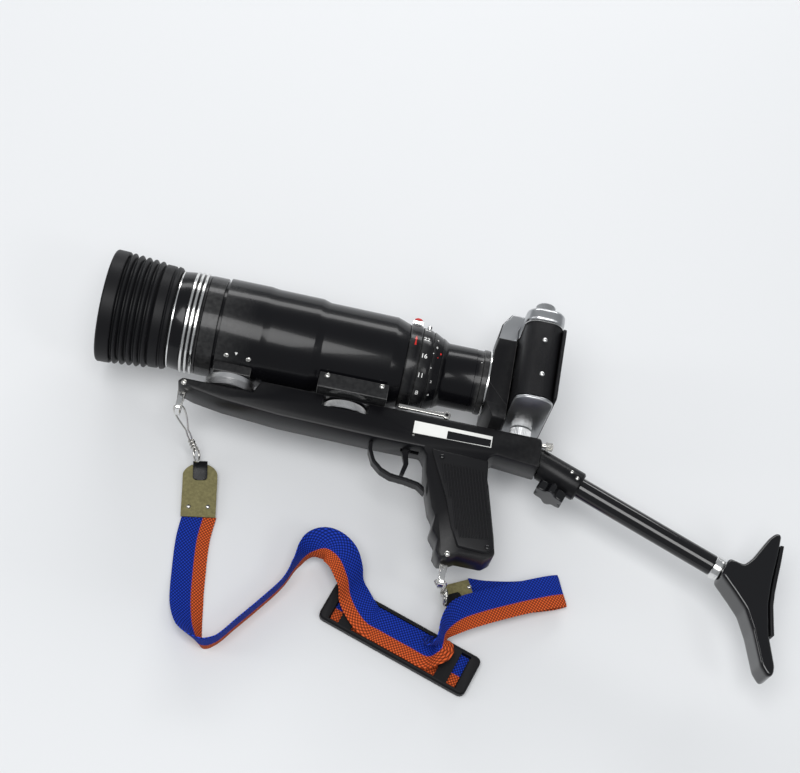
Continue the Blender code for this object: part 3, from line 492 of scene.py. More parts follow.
def band(name, route, width, thickness, material, per_span=8, nose=None):
    """A woven or leather band with a UV map in metres: across, then along."""
    rows = smooth_route(route, per_span)
    half, wall = width / 2 * MM, thickness / 2 * MM
    across = [i / 8 * 2 - 1 for i in range(9)]
    section = [(k, 1.0 if abs(k) < 0.99 else 0.55) for k in across]
    section += [(k, -wall_side) for k, wall_side in reversed(section)]
    shape = bmesh.new()
    layer = shape.loops.layers.uv.new("UVMap")
    rings, travelled = [], 0.0
    for i, (point, side) in enumerate(rows):
        ahead = (rows[min(i + 1, len(rows) - 1)][0] - rows[max(i - 1, 0)][0]).normalized()
        side = (side - ahead * side.dot(ahead)).normalized()
        normal = side.cross(ahead)
        if i:
            travelled += (point - rows[i - 1][0]).length
        narrow = nose(i / (len(rows) - 1)) if nose else 1.0
        ring = [shape.verts.new(point + side * k * half * narrow + normal * t * wall) for k, t in section]
        rings.append((ring, travelled, narrow))
    count = len(section)
    for (ring, start, n0), (after, stop, n1) in zip(rings, rings[1:]):
        for k in range(count):
            nxt = (k + 1) % count
            face = shape.faces.new((ring[k], after[k], after[nxt], ring[nxt]))
            ends = [(section[k][0] * n0, start), (section[k][0] * n1, stop), (section[nxt][0] * n1, stop),
                    (section[nxt][0] * n0, start)]
            for loop, (u, v) in zip(face.loops, ends):
                loop[layer].uv = ((u + 1) * half, v)
    for ring, place, narrow in (rings[0], rings[-1]):
        face = shape.faces.new(ring)
        for loop, (k, _) in zip(face.loops, section):
            loop[layer].uv = ((k * narrow + 1) * half, place)
    bmesh.ops.recalc_face_normals(shape, faces=shape.faces)
    mesh = bpy.data.meshes.new(name)
    shape.to_mesh(mesh)
    shape.free()
    return shade(add(name, mesh, material), 60), travelled


# ---- finishes ----

def number(group, operation, *values):
    """The output of a Math node whose inputs are numbers or sockets."""
    node = group.nodes.new("ShaderNodeMath")
    node.operation = operation
    for socket, value in zip(node.inputs, values):
        if isinstance(value, (int, float)):
            socket.default_value = value
        else:
            group.links.new(value, socket)
    return node.outputs["Value"]


def uneven_group():
    """Colour and gloss that drift a little over a surface."""
    group, start, end = new_group("ShaderNodeTree", "uneven_finish",
        [("Color", "Color", (0.5, 0.5, 0.5, 1)), ("Roughness", "Float", 0.4), ("Scale", "Float", 60.0),
        ("Darkening", "Float", 0.2), ("Dulling", "Float", 0.1)],
        [("Color", "Color", None), ("Roughness", "Float", None)])
    place = group.nodes.new("ShaderNodeTexCoord")
    noise = group.nodes.new("ShaderNodeTexNoise")
    noise.inputs["Detail"].default_value = 6.0
    tint = group.nodes.new("ShaderNodeVectorMath")
    tint.operation = "SCALE"
    link = group.links.new
    link(place.outputs["Object"], noise.inputs["Vector"])
    link(start.outputs["Scale"], noise.inputs["Scale"])
    drift = number(group, "SUBTRACT", noise.outputs["Fac"], 0.5)
    link(start.outputs["Color"], tint.inputs[0])
    link(number(group, "SUBTRACT", 1.0, number(group, "MULTIPLY", drift, start.outputs["Darkening"])),
        tint.inputs["Scale"])
    link(tint.outputs["Vector"], end.inputs["Color"])
    link(number(group, "MULTIPLY_ADD", drift, start.outputs["Dulling"], start.outputs["Roughness"]),
        end.inputs["Roughness"])
    return group


def edge_group():
    """Paint rubbed lighter on the edges."""
    group, start, end = new_group("ShaderNodeTree", "rubbed_edges",
        [("Color", "Color", (0.02, 0.02, 0.02, 1)), ("Bare Color", "Color", (0.3, 0.3, 0.3, 1)),
        ("Amount", "Float", 0.3)], [("Color", "Color", None)])
    shape = group.nodes.new("ShaderNodeNewGeometry")
    place = group.nodes.new("ShaderNodeTexCoord")
    noise = group.nodes.new("ShaderNodeTexNoise")
    noise.inputs["Scale"].default_value = 260.0
    mix = group.nodes.new("ShaderNodeMix")
    mix.data_type = "RGBA"
    link = group.links.new
    link(place.outputs["Object"], noise.inputs["Vector"])
    ridge = number(group, "MULTIPLY", number(group, "SUBTRACT", shape.outputs["Pointiness"], 0.53), 9.0)
    worn = number(group, "MULTIPLY", number(group, "MAXIMUM", ridge, 0.0), noise.outputs["Fac"])
    link(number(group, "MINIMUM", number(group, "MULTIPLY", worn, start.outputs["Amount"]), 1.0),
        mix.inputs[0])
    link(start.outputs["Color"], mix.inputs[6])
    link(start.outputs["Bare Color"], mix.inputs[7])
    link(mix.outputs[2], end.inputs["Color"])
    return group


def grain_group():
    """Height of a fine pebble grain."""
    group, start, end = new_group("ShaderNodeTree", "pebble_grain",
        [("Scale", "Float", 900.0), ("Fineness", "Float", 0.5)], [("Height", "Float", None)])
    place = group.nodes.new("ShaderNodeTexCoord")
    cells = group.nodes.new("ShaderNodeTexVoronoi")
    noise = group.nodes.new("ShaderNodeTexNoise")
    noise.inputs["Detail"].default_value = 3.0
    link = group.links.new
    for texture in (cells, noise):
        link(place.outputs["Object"], texture.inputs["Vector"])
        link(start.outputs["Scale"], texture.inputs["Scale"])
    pebbles = number(group, "MULTIPLY", cells.outputs["Distance"],
        number(group, "SUBTRACT", 1.0, start.outputs["Fineness"]))
    link(number(group, "MULTIPLY_ADD", noise.outputs["Fac"], start.outputs["Fineness"], pebbles),
        end.inputs["Height"])
    return group


def weave_group():
    """A diagonal weave on a band's own map: which yarn shows, how high it stands, and painted shade between
    the yarns with a painted highlight on their crowns.
    """
    group, start, end = new_group("ShaderNodeTree", "diagonal_weave", [
        ("Pitch", "Float", 0.0026), ("Split", "Float", 0.0174)],
        [("Side", "Float", None), ("Height", "Float", None), ("Shade", "Float", None)])
    place = group.nodes.new("ShaderNodeUVMap")
    place.uv_map = "UVMap"
    parts = group.nodes.new("ShaderNodeSeparateXYZ")
    group.links.new(place.outputs["UV"], parts.inputs["Vector"])
    u, v = parts.outputs["X"], parts.outputs["Y"]
    pitch = start.outputs["Pitch"]
    waves = []
    for sign in (1.0, -1.0):
        turn = number(group, "DIVIDE", number(group, "MULTIPLY_ADD", u, sign, v), pitch)
        waves.append(number(group, "ABSOLUTE", number(group, "SINE",
            number(group, "MULTIPLY", turn, math.pi))))
    over = number(group, "MULTIPLY", waves[0], waves[1])
    group.links.new(over, end.inputs["Height"])
    # painted shade and highlight: a factor on the colour, dark between the yarns and above 1 on their crowns
    group.links.new(number(group, "MULTIPLY_ADD", over, 1.15, 0.15), end.inputs["Shade"])
    edge = number(group, "MULTIPLY_ADD", waves[0], 0.0007, start.outputs["Split"])
    group.links.new(number(group, "GREATER_THAN", u, edge), end.inputs["Side"])
    return group


def finish(name, colour, roughness, metallic=0.0, coat=0.0, drift=(60.0, 0.25, 0.1), grain=None, edges=0.0,
        bare=0.3):
    """A material whose colour and gloss drift, with grain and rubbed edges where asked."""
    material = bpy.data.materials.new(name)
    material.use_nodes = True
    tree = material.node_tree
    shader = tree.nodes["Principled BSDF"]
    shader.inputs["Metallic"].default_value = metallic
    shader.inputs["Specular IOR Level"].default_value = 0.5 if metallic else 0.16
    shader.inputs["Coat Weight"].default_value = coat
    shader.inputs["Coat Roughness"].default_value = 0.08
    look = tree.nodes.new("ShaderNodeGroup")
    look.node_tree = GROUPS["uneven"]
    look.inputs["Color"].default_value = (*colour, 1)
    look.inputs["Roughness"].default_value = roughness
    for label, value in zip(("Scale", "Darkening", "Dulling"), drift):
        look.inputs[label].default_value = value
    colour_out = look.outputs["Color"]
    tree.links.new(look.outputs["Roughness"], shader.inputs["Roughness"])
    if edges:
        rub = tree.nodes.new("ShaderNodeGroup")
        rub.node_tree = GROUPS["edges"]
        rub.inputs["Bare Color"].default_value = (bare, bare, bare * 0.97, 1)
        rub.inputs["Amount"].default_value = edges
        tree.links.new(colour_out, rub.inputs["Color"])
        colour_out = rub.outputs["Color"]
    tree.links.new(colour_out, shader.inputs["Base Color"])
    if grain:
        scale, fineness, depth = grain
        pebble = tree.nodes.new("ShaderNodeGroup")
        pebble.node_tree = GROUPS["grain"]
        pebble.inputs["Scale"].default_value = scale
        pebble.inputs["Fineness"].default_value = fineness
        bump = tree.nodes.new("ShaderNodeBump")
        bump.inputs["Distance"].default_value = depth * MM
        tree.links.new(pebble.outputs["Height"], bump.inputs["Height"])
        tree.links.new(bump.outputs["Normal"], shader.inputs["Normal"])
    material.diffuse_color = (*colour, 1)
    FINISH[name] = material
    return material


def woven(name, blue, orange, pitch):
    """Two-colour webbing, read from the band's own map, with the weave's painted shade and highlight on its
    colour.
    """
    material = bpy.data.materials.new(name)
    material.use_nodes = True
    tree = material.node_tree
    shader = tree.nodes["Principled BSDF"]
    weave = tree.nodes.new("ShaderNodeGroup")
    weave.node_tree = GROUPS["weave"]
    weave.inputs["Pitch"].default_value = pitch
    weave.inputs["Split"].default_value = WEBBING_WIDTH * 0.6 * MM
    mix = tree.nodes.new("ShaderNodeMix")
    mix.data_type = "RGBA"
    mix.inputs[6].default_value = (*blue, 1)
    mix.inputs[7].default_value = (*orange, 1)
    painted_shading = tree.nodes.new("ShaderNodeVectorMath")
    painted_shading.operation = "SCALE"
    bump = tree.nodes.new("ShaderNodeBump")
    bump.inputs["Distance"].default_value = 0.4 * MM
    bump.inputs["Strength"].default_value = 0.8
    link = tree.links.new
    link(weave.outputs["Side"], mix.inputs[0])
    link(mix.outputs[2], painted_shading.inputs[0])
    # painted shade between the yarns and painted highlight on their crowns, scaled into the colour
    link(weave.outputs["Shade"], painted_shading.inputs["Scale"])
    link(painted_shading.outputs["Vector"], shader.inputs["Base Color"])
    link(weave.outputs["Height"], bump.inputs["Height"])
    link(bump.outputs["Normal"], shader.inputs["Normal"])
    shader.inputs["Roughness"].default_value = 0.75
    shader.inputs["Specular IOR Level"].default_value = 0.1
    FINISH[name] = material


def glass(name, colour, painted_coating_reflection):
    """Coated lens glass, with the coating's purple reflection painted into its colour towards the rim."""
    material = bpy.data.materials.new(name)
    material.use_nodes = True
    tree = material.node_tree
    shader = tree.nodes["Principled BSDF"]
    shader.inputs["Roughness"].default_value = 0.02
    shader.inputs["Coat Weight"].default_value = 0.8
    shader.inputs["Specular IOR Level"].default_value = 0.8
    rim = tree.nodes.new("ShaderNodeLayerWeight")
    rim.inputs["Blend"].default_value = 0.35
    mix = tree.nodes.new("ShaderNodeMix")
    mix.data_type = "RGBA"
    mix.inputs[6].default_value = (*colour, 1)
    mix.inputs[7].default_value = (*painted_coating_reflection, 1)
    # painted reflection: the colour turns to the coating's purple towards the rim
    tree.links.new(rim.outputs["Facing"], mix.inputs[0])
    tree.links.new(mix.outputs[2], shader.inputs["Base Color"])
    FINISH[name] = material


# ---- settings ----

class CameraGunSettings(bpy.types.PropertyGroup):
    black: FloatVectorProperty(name="Lens Black", description="Anodised black of the lens", subtype="COLOR",
        size=3, min=0, max=1, default=(0.004, 0.004, 0.005))
    paint_black: FloatVectorProperty(name="Stock Black", description="Satin paint of the gunstock",
        subtype="COLOR", size=3, min=0, max=1, default=(0.005, 0.005, 0.006))
    chrome: FloatVectorProperty(name="Satin Chrome", description="Covers of the camera", subtype="COLOR",
        size=3, min=0, max=1, default=(0.50, 0.51, 0.52))
    blue: FloatVectorProperty(name="Webbing Blue", description="Wide side of the webbing", subtype="COLOR",
        size=3, min=0, max=1, default=(0.012, 0.045, 0.42))
    orange: FloatVectorProperty(name="Webbing Orange", description="Narrow side of the webbing",
        subtype="COLOR", size=3, min=0, max=1, default=(0.68, 0.115, 0.03))
    suede: FloatVectorProperty(name="Suede", description="Tabs that hold the webbing", subtype="COLOR",
        size=3, min=0, max=1, default=(0.20, 0.18, 0.085))
    red: FloatVectorProperty(name="Red Marks", description="Red marks and the knob's cap", subtype="COLOR",
        size=3, min=0, max=1, default=(0.55, 0.018, 0.012))
    weave_pitch: FloatProperty(name="Weave Pitch", description="Distance between diagonal yarns",
        unit="LENGTH", default=0.003)
    hood_ribs: IntProperty(name="Hood Ribs", description="Ribs round the rubber hood", default=5, min=1)
    hood_rib_pitch: FloatProperty(name="Hood Rib Pitch", description="Distance between the hood's ribs",
        unit="LENGTH", default=0.0062)
    grip_rib_pitch: FloatProperty(name="Grip Rib Pitch", description="Distance between the grip's ribs",
        unit="LENGTH", default=0.0026)
    wheel_teeth: IntProperty(name="Wheel Teeth", description="Ridges round the lens clamp wheel", default=84,
        min=12)
    floor: FloatVectorProperty(name="Floor", description="Floor of the studio", subtype="COLOR", size=3,
        min=0, max=1, default=(0.76, 0.77, 0.78))
    key_power: FloatProperty(name="Key Light", description="Power of the overhead light in watts",
        default=31.0)


# ---- operators ----

class CAMERAGUN_OT_finishes(bpy.types.Operator):
    """Build every finish and the trees that the other steps use"""
    bl_idname = "camera_gun.finishes"
    bl_label = "Finishes"

    def execute(self, context):
        s = context.scene.camera_gun
        GROUPS.update(uneven=uneven_group(), edges=edge_group(), grain=grain_group(), weave=weave_group())
        TREES.update(turned=turning_tree(), fasteners=fastener_tree(), bars=bar_tree())
        finish("lens_black", s.black, 0.24, coat=0.2, drift=(45, 0.3, 0.06), grain=(3200, 0.9, 0.008),
            edges=0.5)
        finish("silver_rings", (0.78, 0.78, 0.77), 0.2, 1.0, drift=(80, 0.1, 0.08))
        finish("hood_rubber", (0.007, 0.007, 0.008), 0.45, drift=(40, 0.4, 0.16), grain=(1500, 0.8, 0.05))
        glass("optical_glass", (0.004, 0.005, 0.012), (0.10, 0.03, 0.14))
        finish("turned_aluminium", (0.70, 0.70, 0.70), 0.3, 1.0, drift=(300, 0.2, 0.12), edges=0.2, bare=0.9)
        finish("stock_black", s.paint_black, 0.3, drift=(35, 0.3, 0.08), grain=(2600, 0.7, 0.012), edges=0.25)
        finish("grip_plastic", (0.011, 0.011, 0.012), 0.33, drift=(50, 0.3, 0.12), grain=(2200, 0.9, 0.02))
        finish("gloss_black", (0.004, 0.004, 0.005), 0.12, coat=0.6, drift=(30, 0.3, 0.06))
        finish("plated_steel", (0.62, 0.61, 0.58), 0.2, 1.0, drift=(220, 0.3, 0.15))
        finish("label", (0.80, 0.80, 0.77), 0.38, drift=(120, 0.12, 0.1))
        finish("leatherette", (0.008, 0.008, 0.009), 0.4, drift=(60, 0.3, 0.15), grain=(1500, 0.2, 0.25))
        finish("satin_chrome", s.chrome, 0.3, 1.0, drift=(90, 0.12, 0.1), grain=(5200, 1.0, 0.008),
            edges=0.15, bare=0.9)
        finish("camera_black", (0.007, 0.007, 0.008), 0.3, drift=(60, 0.3, 0.1), edges=0.5)
        finish("mirror_glass", (0.9, 0.9, 0.9), 0.02, 1.0, drift=(20, 0.02, 0.01))
        finish("suede", s.suede, 0.9, drift=(420, 0.9, 0.05), grain=(1400, 0.8, 0.25))
        finish("red_enamel", s.red, 0.3, coat=0.3, drift=(90, 0.2, 0.1))
        finish("mark_white", (0.82, 0.82, 0.80), 0.45, drift=(200, 0.15, 0.1))
        finish("loop_leather", (0.010, 0.010, 0.011), 0.3, drift=(120, 0.4, 0.2), grain=(900, 0.5, 0.12))
        woven("webbing", s.blue, s.orange, s.weave_pitch)
        return {"FINISHED"}


class CAMERAGUN_OT_hood(bpy.types.Operator):
    """Turn the rubber hood with its ribs"""
    bl_idname = "camera_gun.hood"
    bl_label = "Rubber Hood"

    def execute(self, context):
        s = context.scene.camera_gun
        front, rear = span("rubber_hood")
        pitch = s.hood_rib_pitch / MM
        lip = 12.0
        outside = [(front, HOOD_R - 1.6), (front + 0.4, HOOD_R - 0.7), (front + 1.5, HOOD_R),
            (front + 5, HOOD_R - 0.1), (front + lip - 0.8, HOOD_R - 0.3), (front + lip - 0.1, HOOD_R - 0.9)]
        for i in range(s.hood_ribs):
            start = front + lip + i * pitch
            groove, crest = HOOD_R - 4.4 - 0.3 * i, HOOD_R - 0.5 - 0.5 * i
            outside += [(start + 0.5, groove), (start + 1.4, groove)]
            for k in range(9):
                t = k / 8
                swell = max(0.15, math.sin(math.pi * t)) ** 0.55
                outside.append((start + 1.6 + t * (pitch - 1.7), groove + (crest - groove) * swell))
        rib_end = front + lip + s.hood_ribs * pitch
        outside += [(rib_end + 0.5, HOOD_R - 5.6), (rib_end + 2.2, HOOD_R - 4.0), (rear - 8, HOOD_R - 4.2),
            (rear - 6.5, HOOD_R - 4.4), (rear - 5.5, HOOD_R - 5.6), (rear - 4.6, HOOD_R - 5.4),
            (rear - 3.6, HOOD_R - 4.0), (rear - 1.2, HOOD_R - 4.6), (rear, HOOD_R - 6)]
        inside = [(rear, FRONT_BORE_R + 0.5), (rib_end, HOOD_R - 6 - HOOD_WALL)]
        for i in reversed(range(s.hood_ribs)):
            start = front + lip + i * pitch
            inside += [(start + pitch - 1, HOOD_R - 3.4 - 0.5 * i - HOOD_WALL),
                (start + 1.2, HOOD_R - 5.2 - 0.3 * i - HOOD_WALL)]
        inside += [(front + lip - 2, HOOD_R - HOOD_WALL - 0.6), (front + 2, HOOD_R - HOOD_WALL),
            (front, HOOD_R - HOOD_WALL + 0.6)]
        hood = lens_turned("rubber_hood_ribbed", [outside + inside], "hood_rubber")
        belong(hood, "focus_cell", "hood_rubber", "rubber_hood")
        return {"FINISHED"}


class CAMERAGUN_OT_front_cell(bpy.types.Operator):
    """Turn the front ring, its silver lines, the front barrel and the front glass"""
    bl_idname = "camera_gun.front_cell"
    bl_label = "Front Cell"

    def execute(self, context):
        front, rear = span("front_ring")
        grooves = []
        for i in range(3):
            x = rear - 13.7 + i * 4.2
            grooves += [(x, BARREL_R - 1.4), (x + 0.3, BARREL_R - 1.6), (x + 3.1, BARREL_R - 1.6),
                (x + 3.4, BARREL_R - 1.4)]
        ring = lens_turned("front_ring_black", [[(front, BARREL_R - 3.2), (front + 1.0, BARREL_R - 2.6),
            (front + 1.6, BARREL_R - 2.4), (rear - 14.6, BARREL_R - 1.2), *grooves,
            (rear - 0.4, BARREL_R - 1.2), (rear, BARREL_R - 1.6), (rear, BARREL_R - 4.7),
            (front + 3.7, BARREL_R - 4.7), (front + 3.7, FRONT_BORE_R), (front, FRONT_BORE_R)]], "lens_black")
        belong(ring, "focus_cell", "lens_black", "front_ring")
        lines = [[(front + 1.1, BARREL_R - 2.9), (front + 1.2, BARREL_R - 2.2), (front + 2.2, BARREL_R - 2.1),
            (front + 2.3, BARREL_R - 2.9)]]
        for i in range(3):
            x = rear - 13.1 + i * 4.2
            lines.append([(x, BARREL_R - 2.0), (x, BARREL_R - 0.5), (x + 0.5, BARREL_R), (x + 1.7, BARREL_R),
                (x + 2.2, BARREL_R - 0.5), (x + 2.2, BARREL_R - 2.0)])
        belong(lens_turned("front_ring_lines", lines, "silver_rings"), "focus_cell", "silver_rings")
        start, stop = span("front_barrel")
        joint = span("lens_barrel")[0] - 2.3
        outer = BARREL_R - 1.0
        barrel = lens_turned("front_barrel_black", [[(start, BARREL_R - 5.0), (joint - 14, BARREL_R - 5.0),
            (joint - 14, outer - 0.4), (joint - 13.6, outer), (joint - 0.6, outer), (joint, outer - 0.5),
            (joint, SLEEVE_R), (stop, SLEEVE_R), (stop, FRONT_BORE_R), (start, FRONT_BORE_R)]], "lens_black")
        belong(barrel, "focus_cell", "lens_black", "front_barrel")
        radius = FRONT_BORE_R - GAP
        crown = [(4.5 * math.cos(t / 8 * math.pi / 2) + 1.5,
            radius * math.sin(t / 8 * math.pi / 2)) for t in range(9)]
        element = turned("front_element_polished", [[(-4.5, 0.0), (-2.0, radius)] + crown[::-1]],
            "optical_glass", origin=gun(front + 12, 0), steps=96, sharp=40)
        belong(element, "focus_cell", "optical_glass", "front_element")
        return {"FINISHED"}


class CAMERAGUN_OT_barrel(bpy.types.Operator):
    """Turn the main barrel and the mount ring"""
    bl_idname = "camera_gun.barrel"
    bl_label = "Main Barrel"

    def execute(self, context):
        front, rear = span("lens_barrel")
        outside = [(front, BARREL_R - 0.6), (front + 0.5, BARREL_R), (front + 35, BARREL_R),
            (front + 36, BARREL_R - 0.15), (front + 41, BARREL_R - 0.85), (front + 42, BARREL_R - 0.9),
            (-155.5, BARREL_R - 1.15), (-154.5, BARREL_R - 1.35), (-149, BARREL_MID_R + 0.1),
            (-148, BARREL_MID_R), (-89, BARREL_MID_R - 0.4), (-88, BARREL_MID_R - 0.7),
            (SEAT_FRONT - 1, RING_SEAT_R + 4.0), (SEAT_FRONT, RING_SEAT_R + 3.4), (SEAT_FRONT, RING_SEAT_R),
            (SEAT_REAR, RING_SEAT_R), (SEAT_REAR, RING_SEAT_R + 1.2), (SEAT_REAR + 0.5, RING_SEAT_R + 1.6),
            (-47, 30.6), (-46.6, 30.9), (-44.2, 29.6), (-43.8, 29.1), (-41, REAR_TUBE_R),
            (rear - 6, REAR_TUBE_R), (rear - 5.6, REAR_TUBE_R - 0.3), (rear, REAR_TUBE_R - 0.3)]
        seat = RING_SEAT_R - LENS_WALL
        inside = [(rear, REAR_BORE_R), (-45, REAR_BORE_R), (-55, seat), (-80.5, seat),
            (-148, BARREL_MID_R - LENS_WALL), (front + 39, BARREL_R - LENS_WALL),
            (front + 0.4, BARREL_R - LENS_WALL), (front, BARREL_R - 3.0)]
        belong(lens_turned("lens_barrel_black", [outside + inside], "lens_black"), "frame", "lens_black",
            "lens_barrel")
        start, stop = span("lens_mount_ring")
        radius = half("lens_mount_ring", 1)
        ring = lens_turned("lens_mount_ring_black", [[(start, radius - 0.8), (start + 0.5, radius),
            (stop - 2.2, radius), (stop - 1.9, radius - 0.3), (stop - 1.9, REAR_BORE_R + 1),
            (start, REAR_BORE_R)]], "lens_black")
        belong(ring, "frame", "lens_black", "lens_mount_ring")
        edge = lens_turned("lens_mount_edge", [[(stop - 1.6, REAR_BORE_R + 1), (stop - 1.6, radius + 0.2),
            (stop - 1.2, radius + 0.5), (stop - 0.2, radius + 0.5), (stop, radius + 0.2),
            (stop, REAR_BORE_R + 1)]], "silver_rings")
        belong(edge, "frame", "silver_rings")
        return {"FINISHED"}


class CAMERAGUN_OT_lens_rings(bpy.types.Operator):
    """Turn the preset and aperture rings and the preset knob"""
    bl_idname = "camera_gun.lens_rings"
    bl_label = "Lens Rings"

    def execute(self, context):
        for node, body, dip in (("preset_ring", "preset", 0.6), ("aperture_ring", "aperture", 2.2)):
            start, stop = span(node)
            radius = half(node, 1)
            bore = RING_SEAT_R + GAP
            ring = lens_turned(node + "_black", [[(start, radius - 0.7), (start + 0.7, radius),
                (stop - 3.2, radius - dip * 0.35), (stop - 0.6, radius - dip * 0.9),
                (stop, radius - dip * 0.9 - 0.5), (stop, bore), (start, bore)]], "lens_black")
            belong(ring, body, "lens_black", node)
        knob = turned("preset_knob_silver", [[(38.1, 0.0), (38.1, 4.0), (38.5, 4.4), (40.6, 4.6), (41.4, 4.3),
            (41.8, 3.5), (41.8, 0.0)]], "silver_rings", origin=gun(KNOB_X, 0), direction=KNOB_WAY, steps=64)
        belong(knob, "preset", "silver_rings", "preset_knob")
        teeth = knurl("preset_knob_teeth", gun(KNOB_X, 0), KNOB_WAY, 4.45, 38.4, 41.0, 36, 0.22,
            "silver_rings")
        belong(teeth, "preset", "silver_rings")
        cap = turned("preset_knob_cap", [[(41.7, 0.0), (41.7, 3.6), (42.4, 3.5), (43.3, 2.6), (43.7, 1.4),
            (43.85, 0.0)]], "red_enamel", origin=gun(KNOB_X, 0), direction=KNOB_WAY, steps=64)
        belong(cap, "preset", "silver_rings")
        stud = turned("aperture_stud", [[(36.0, 0.0), (36.0, 2.1), (38.6, 2.1), (39.0, 1.7), (39.0, 0.0)]],
            "silver_rings", origin=gun(-60.6, 0), direction=KNOB_WAY, steps=48)
        belong(stud, "aperture", "silver_rings")
        return {"FINISHED"}


def wrapped_text(name, entries, material):
    """Digits wrapped on the lens: (text, X, degrees from +Z to +Y, radius, size, fall of the surface)."""
    whole = bmesh.new()
    for text, x, degrees, radius, size, fall in entries:
        curve = bpy.data.curves.new(name, "FONT")
        curve.body = text
        curve.size = size * MM
        curve.align_x = "CENTER"
        curve.align_y = "CENTER"
        curve.extrude = 0.00004
        curve.offset = size * MM * 0.012
        words = bpy.data.objects.new(name, curve)
        bpy.context.scene.collection.objects.link(words)
        mesh = evaluated(words)
        bpy.data.objects.remove(words)
        bpy.data.curves.remove(curve)
        for vertex in mesh.vertices:
            along, up, out = vertex.co
            angle = math.radians(degrees) + up / (radius * MM)
            reach = radius + 0.03 + (out - along * fall) / MM
            vertex.co = gun(x + along / MM, reach * math.sin(angle), reach * math.cos(angle))
        whole.from_mesh(mesh)
        bpy.data.meshes.remove(mesh)
    bmesh.ops.remove_doubles(whole, verts=whole.verts, dist=0.000001)
    bmesh.ops.recalc_face_normals(whole, faces=whole.faces)
    mesh = bpy.data.meshes.new(name)
    whole.to_mesh(mesh)
    whole.free()
    return add(name, mesh, material)


def wrapped_shape(name, outlines, material):
    """Flat enamel marks wrapped on the lens: (outline of (X, degrees), radius)."""
    whole = bmesh.new()
    for outline, radius in outlines:
        rings = []
        for reach in (radius - 0.2, radius + 0.08):
            ring = []
            for x, degrees in outline:
                a = math.radians(degrees)
                ring.append(whole.verts.new(gun(x, reach * math.sin(a), reach * math.cos(a))))
            rings.append(ring)
        whole.faces.new(rings[0])
        whole.faces.new(rings[1])
        for i in range(len(outline)):
            j = (i + 1) % len(outline)
            whole.faces.new((rings[0][i], rings[0][j], rings[1][j], rings[1][i]))
    bmesh.ops.recalc_face_normals(whole, faces=whole.faces)
    mesh = bpy.data.meshes.new(name)
    whole.to_mesh(mesh)
    whole.free()
    return add(name, mesh, material)


def dot(x, degrees, reach, spread, steps):
    """A round mark's outline: reach in millimetres along the axis, spread in degrees about it."""
    turns = [k * math.tau / steps for k in range(steps)]
    return [(x + reach * math.cos(t), degrees + spread * math.sin(t)) for t in turns]


class CAMERAGUN_OT_marks(bpy.types.Operator):
    """Print the lens's generic digits and index marks"""
    bl_idname = "camera_gun.marks"
    bl_label = "Lens Marks"

    def execute(self, context):
        stops = (("32", 48), ("22", 22), ("16", -6), ("11", -33), ("8", -59))
        stops = [(text, -62.2, angle, 36.05, 5.6, 0.12) for text, angle in stops]
        belong(wrapped_text("aperture_digits", stops, "mark_white"), "aperture", "label")
        scale = (("4", 30), ("8", 14), ("2", -40), ("4", -62))
        scale = [(text, -52.2, angle, 33.35, 3.0, 0.52) for text, angle in scale]
        belong(wrapped_text("preset_digits", scale, "mark_white"), "frame", "label")
        places = ((-54.6, 2, 34.5), (-54.6, -20, 34.5), (-12, 12, REAR_TUBE_R - 0.2))
        dots = [(dot(x, angle, 0.45, 0.75, 12), radius) for x, angle, radius in places]
        belong(wrapped_shape("white_dots", dots, "mark_white"), "frame", "label")
        red = [([(-72.2, 6.5), (-70.6, 6.5), (-71.0, 15.5), (-71.8, 15.5)], 37.72),
               ([(-72.6, 15.5), (-70.2, 15.5), (-71.4, 22.5)], 37.72)]
        belong(wrapped_shape("preset_red_index", red, "red_enamel"), "preset", "label")
        places = ((-48.4, 6, 31.4, 0.95), (-50.4, -2, 32.4, 0.5))
        spots = [(dot(x, angle, size, size / radius * 57.3, 16), radius) for x, angle, radius, size in places]
        belong(wrapped_shape("red_dots", spots, "red_enamel"), "frame", "label")
        index = [([(-219.4, -48.4), (-216.8, -48.4), (-218.1, -52.0)], BARREL_R)]
        belong(wrapped_shape("focus_index", index, "mark_white"), "frame", "label")
        return {"FINISHED"}


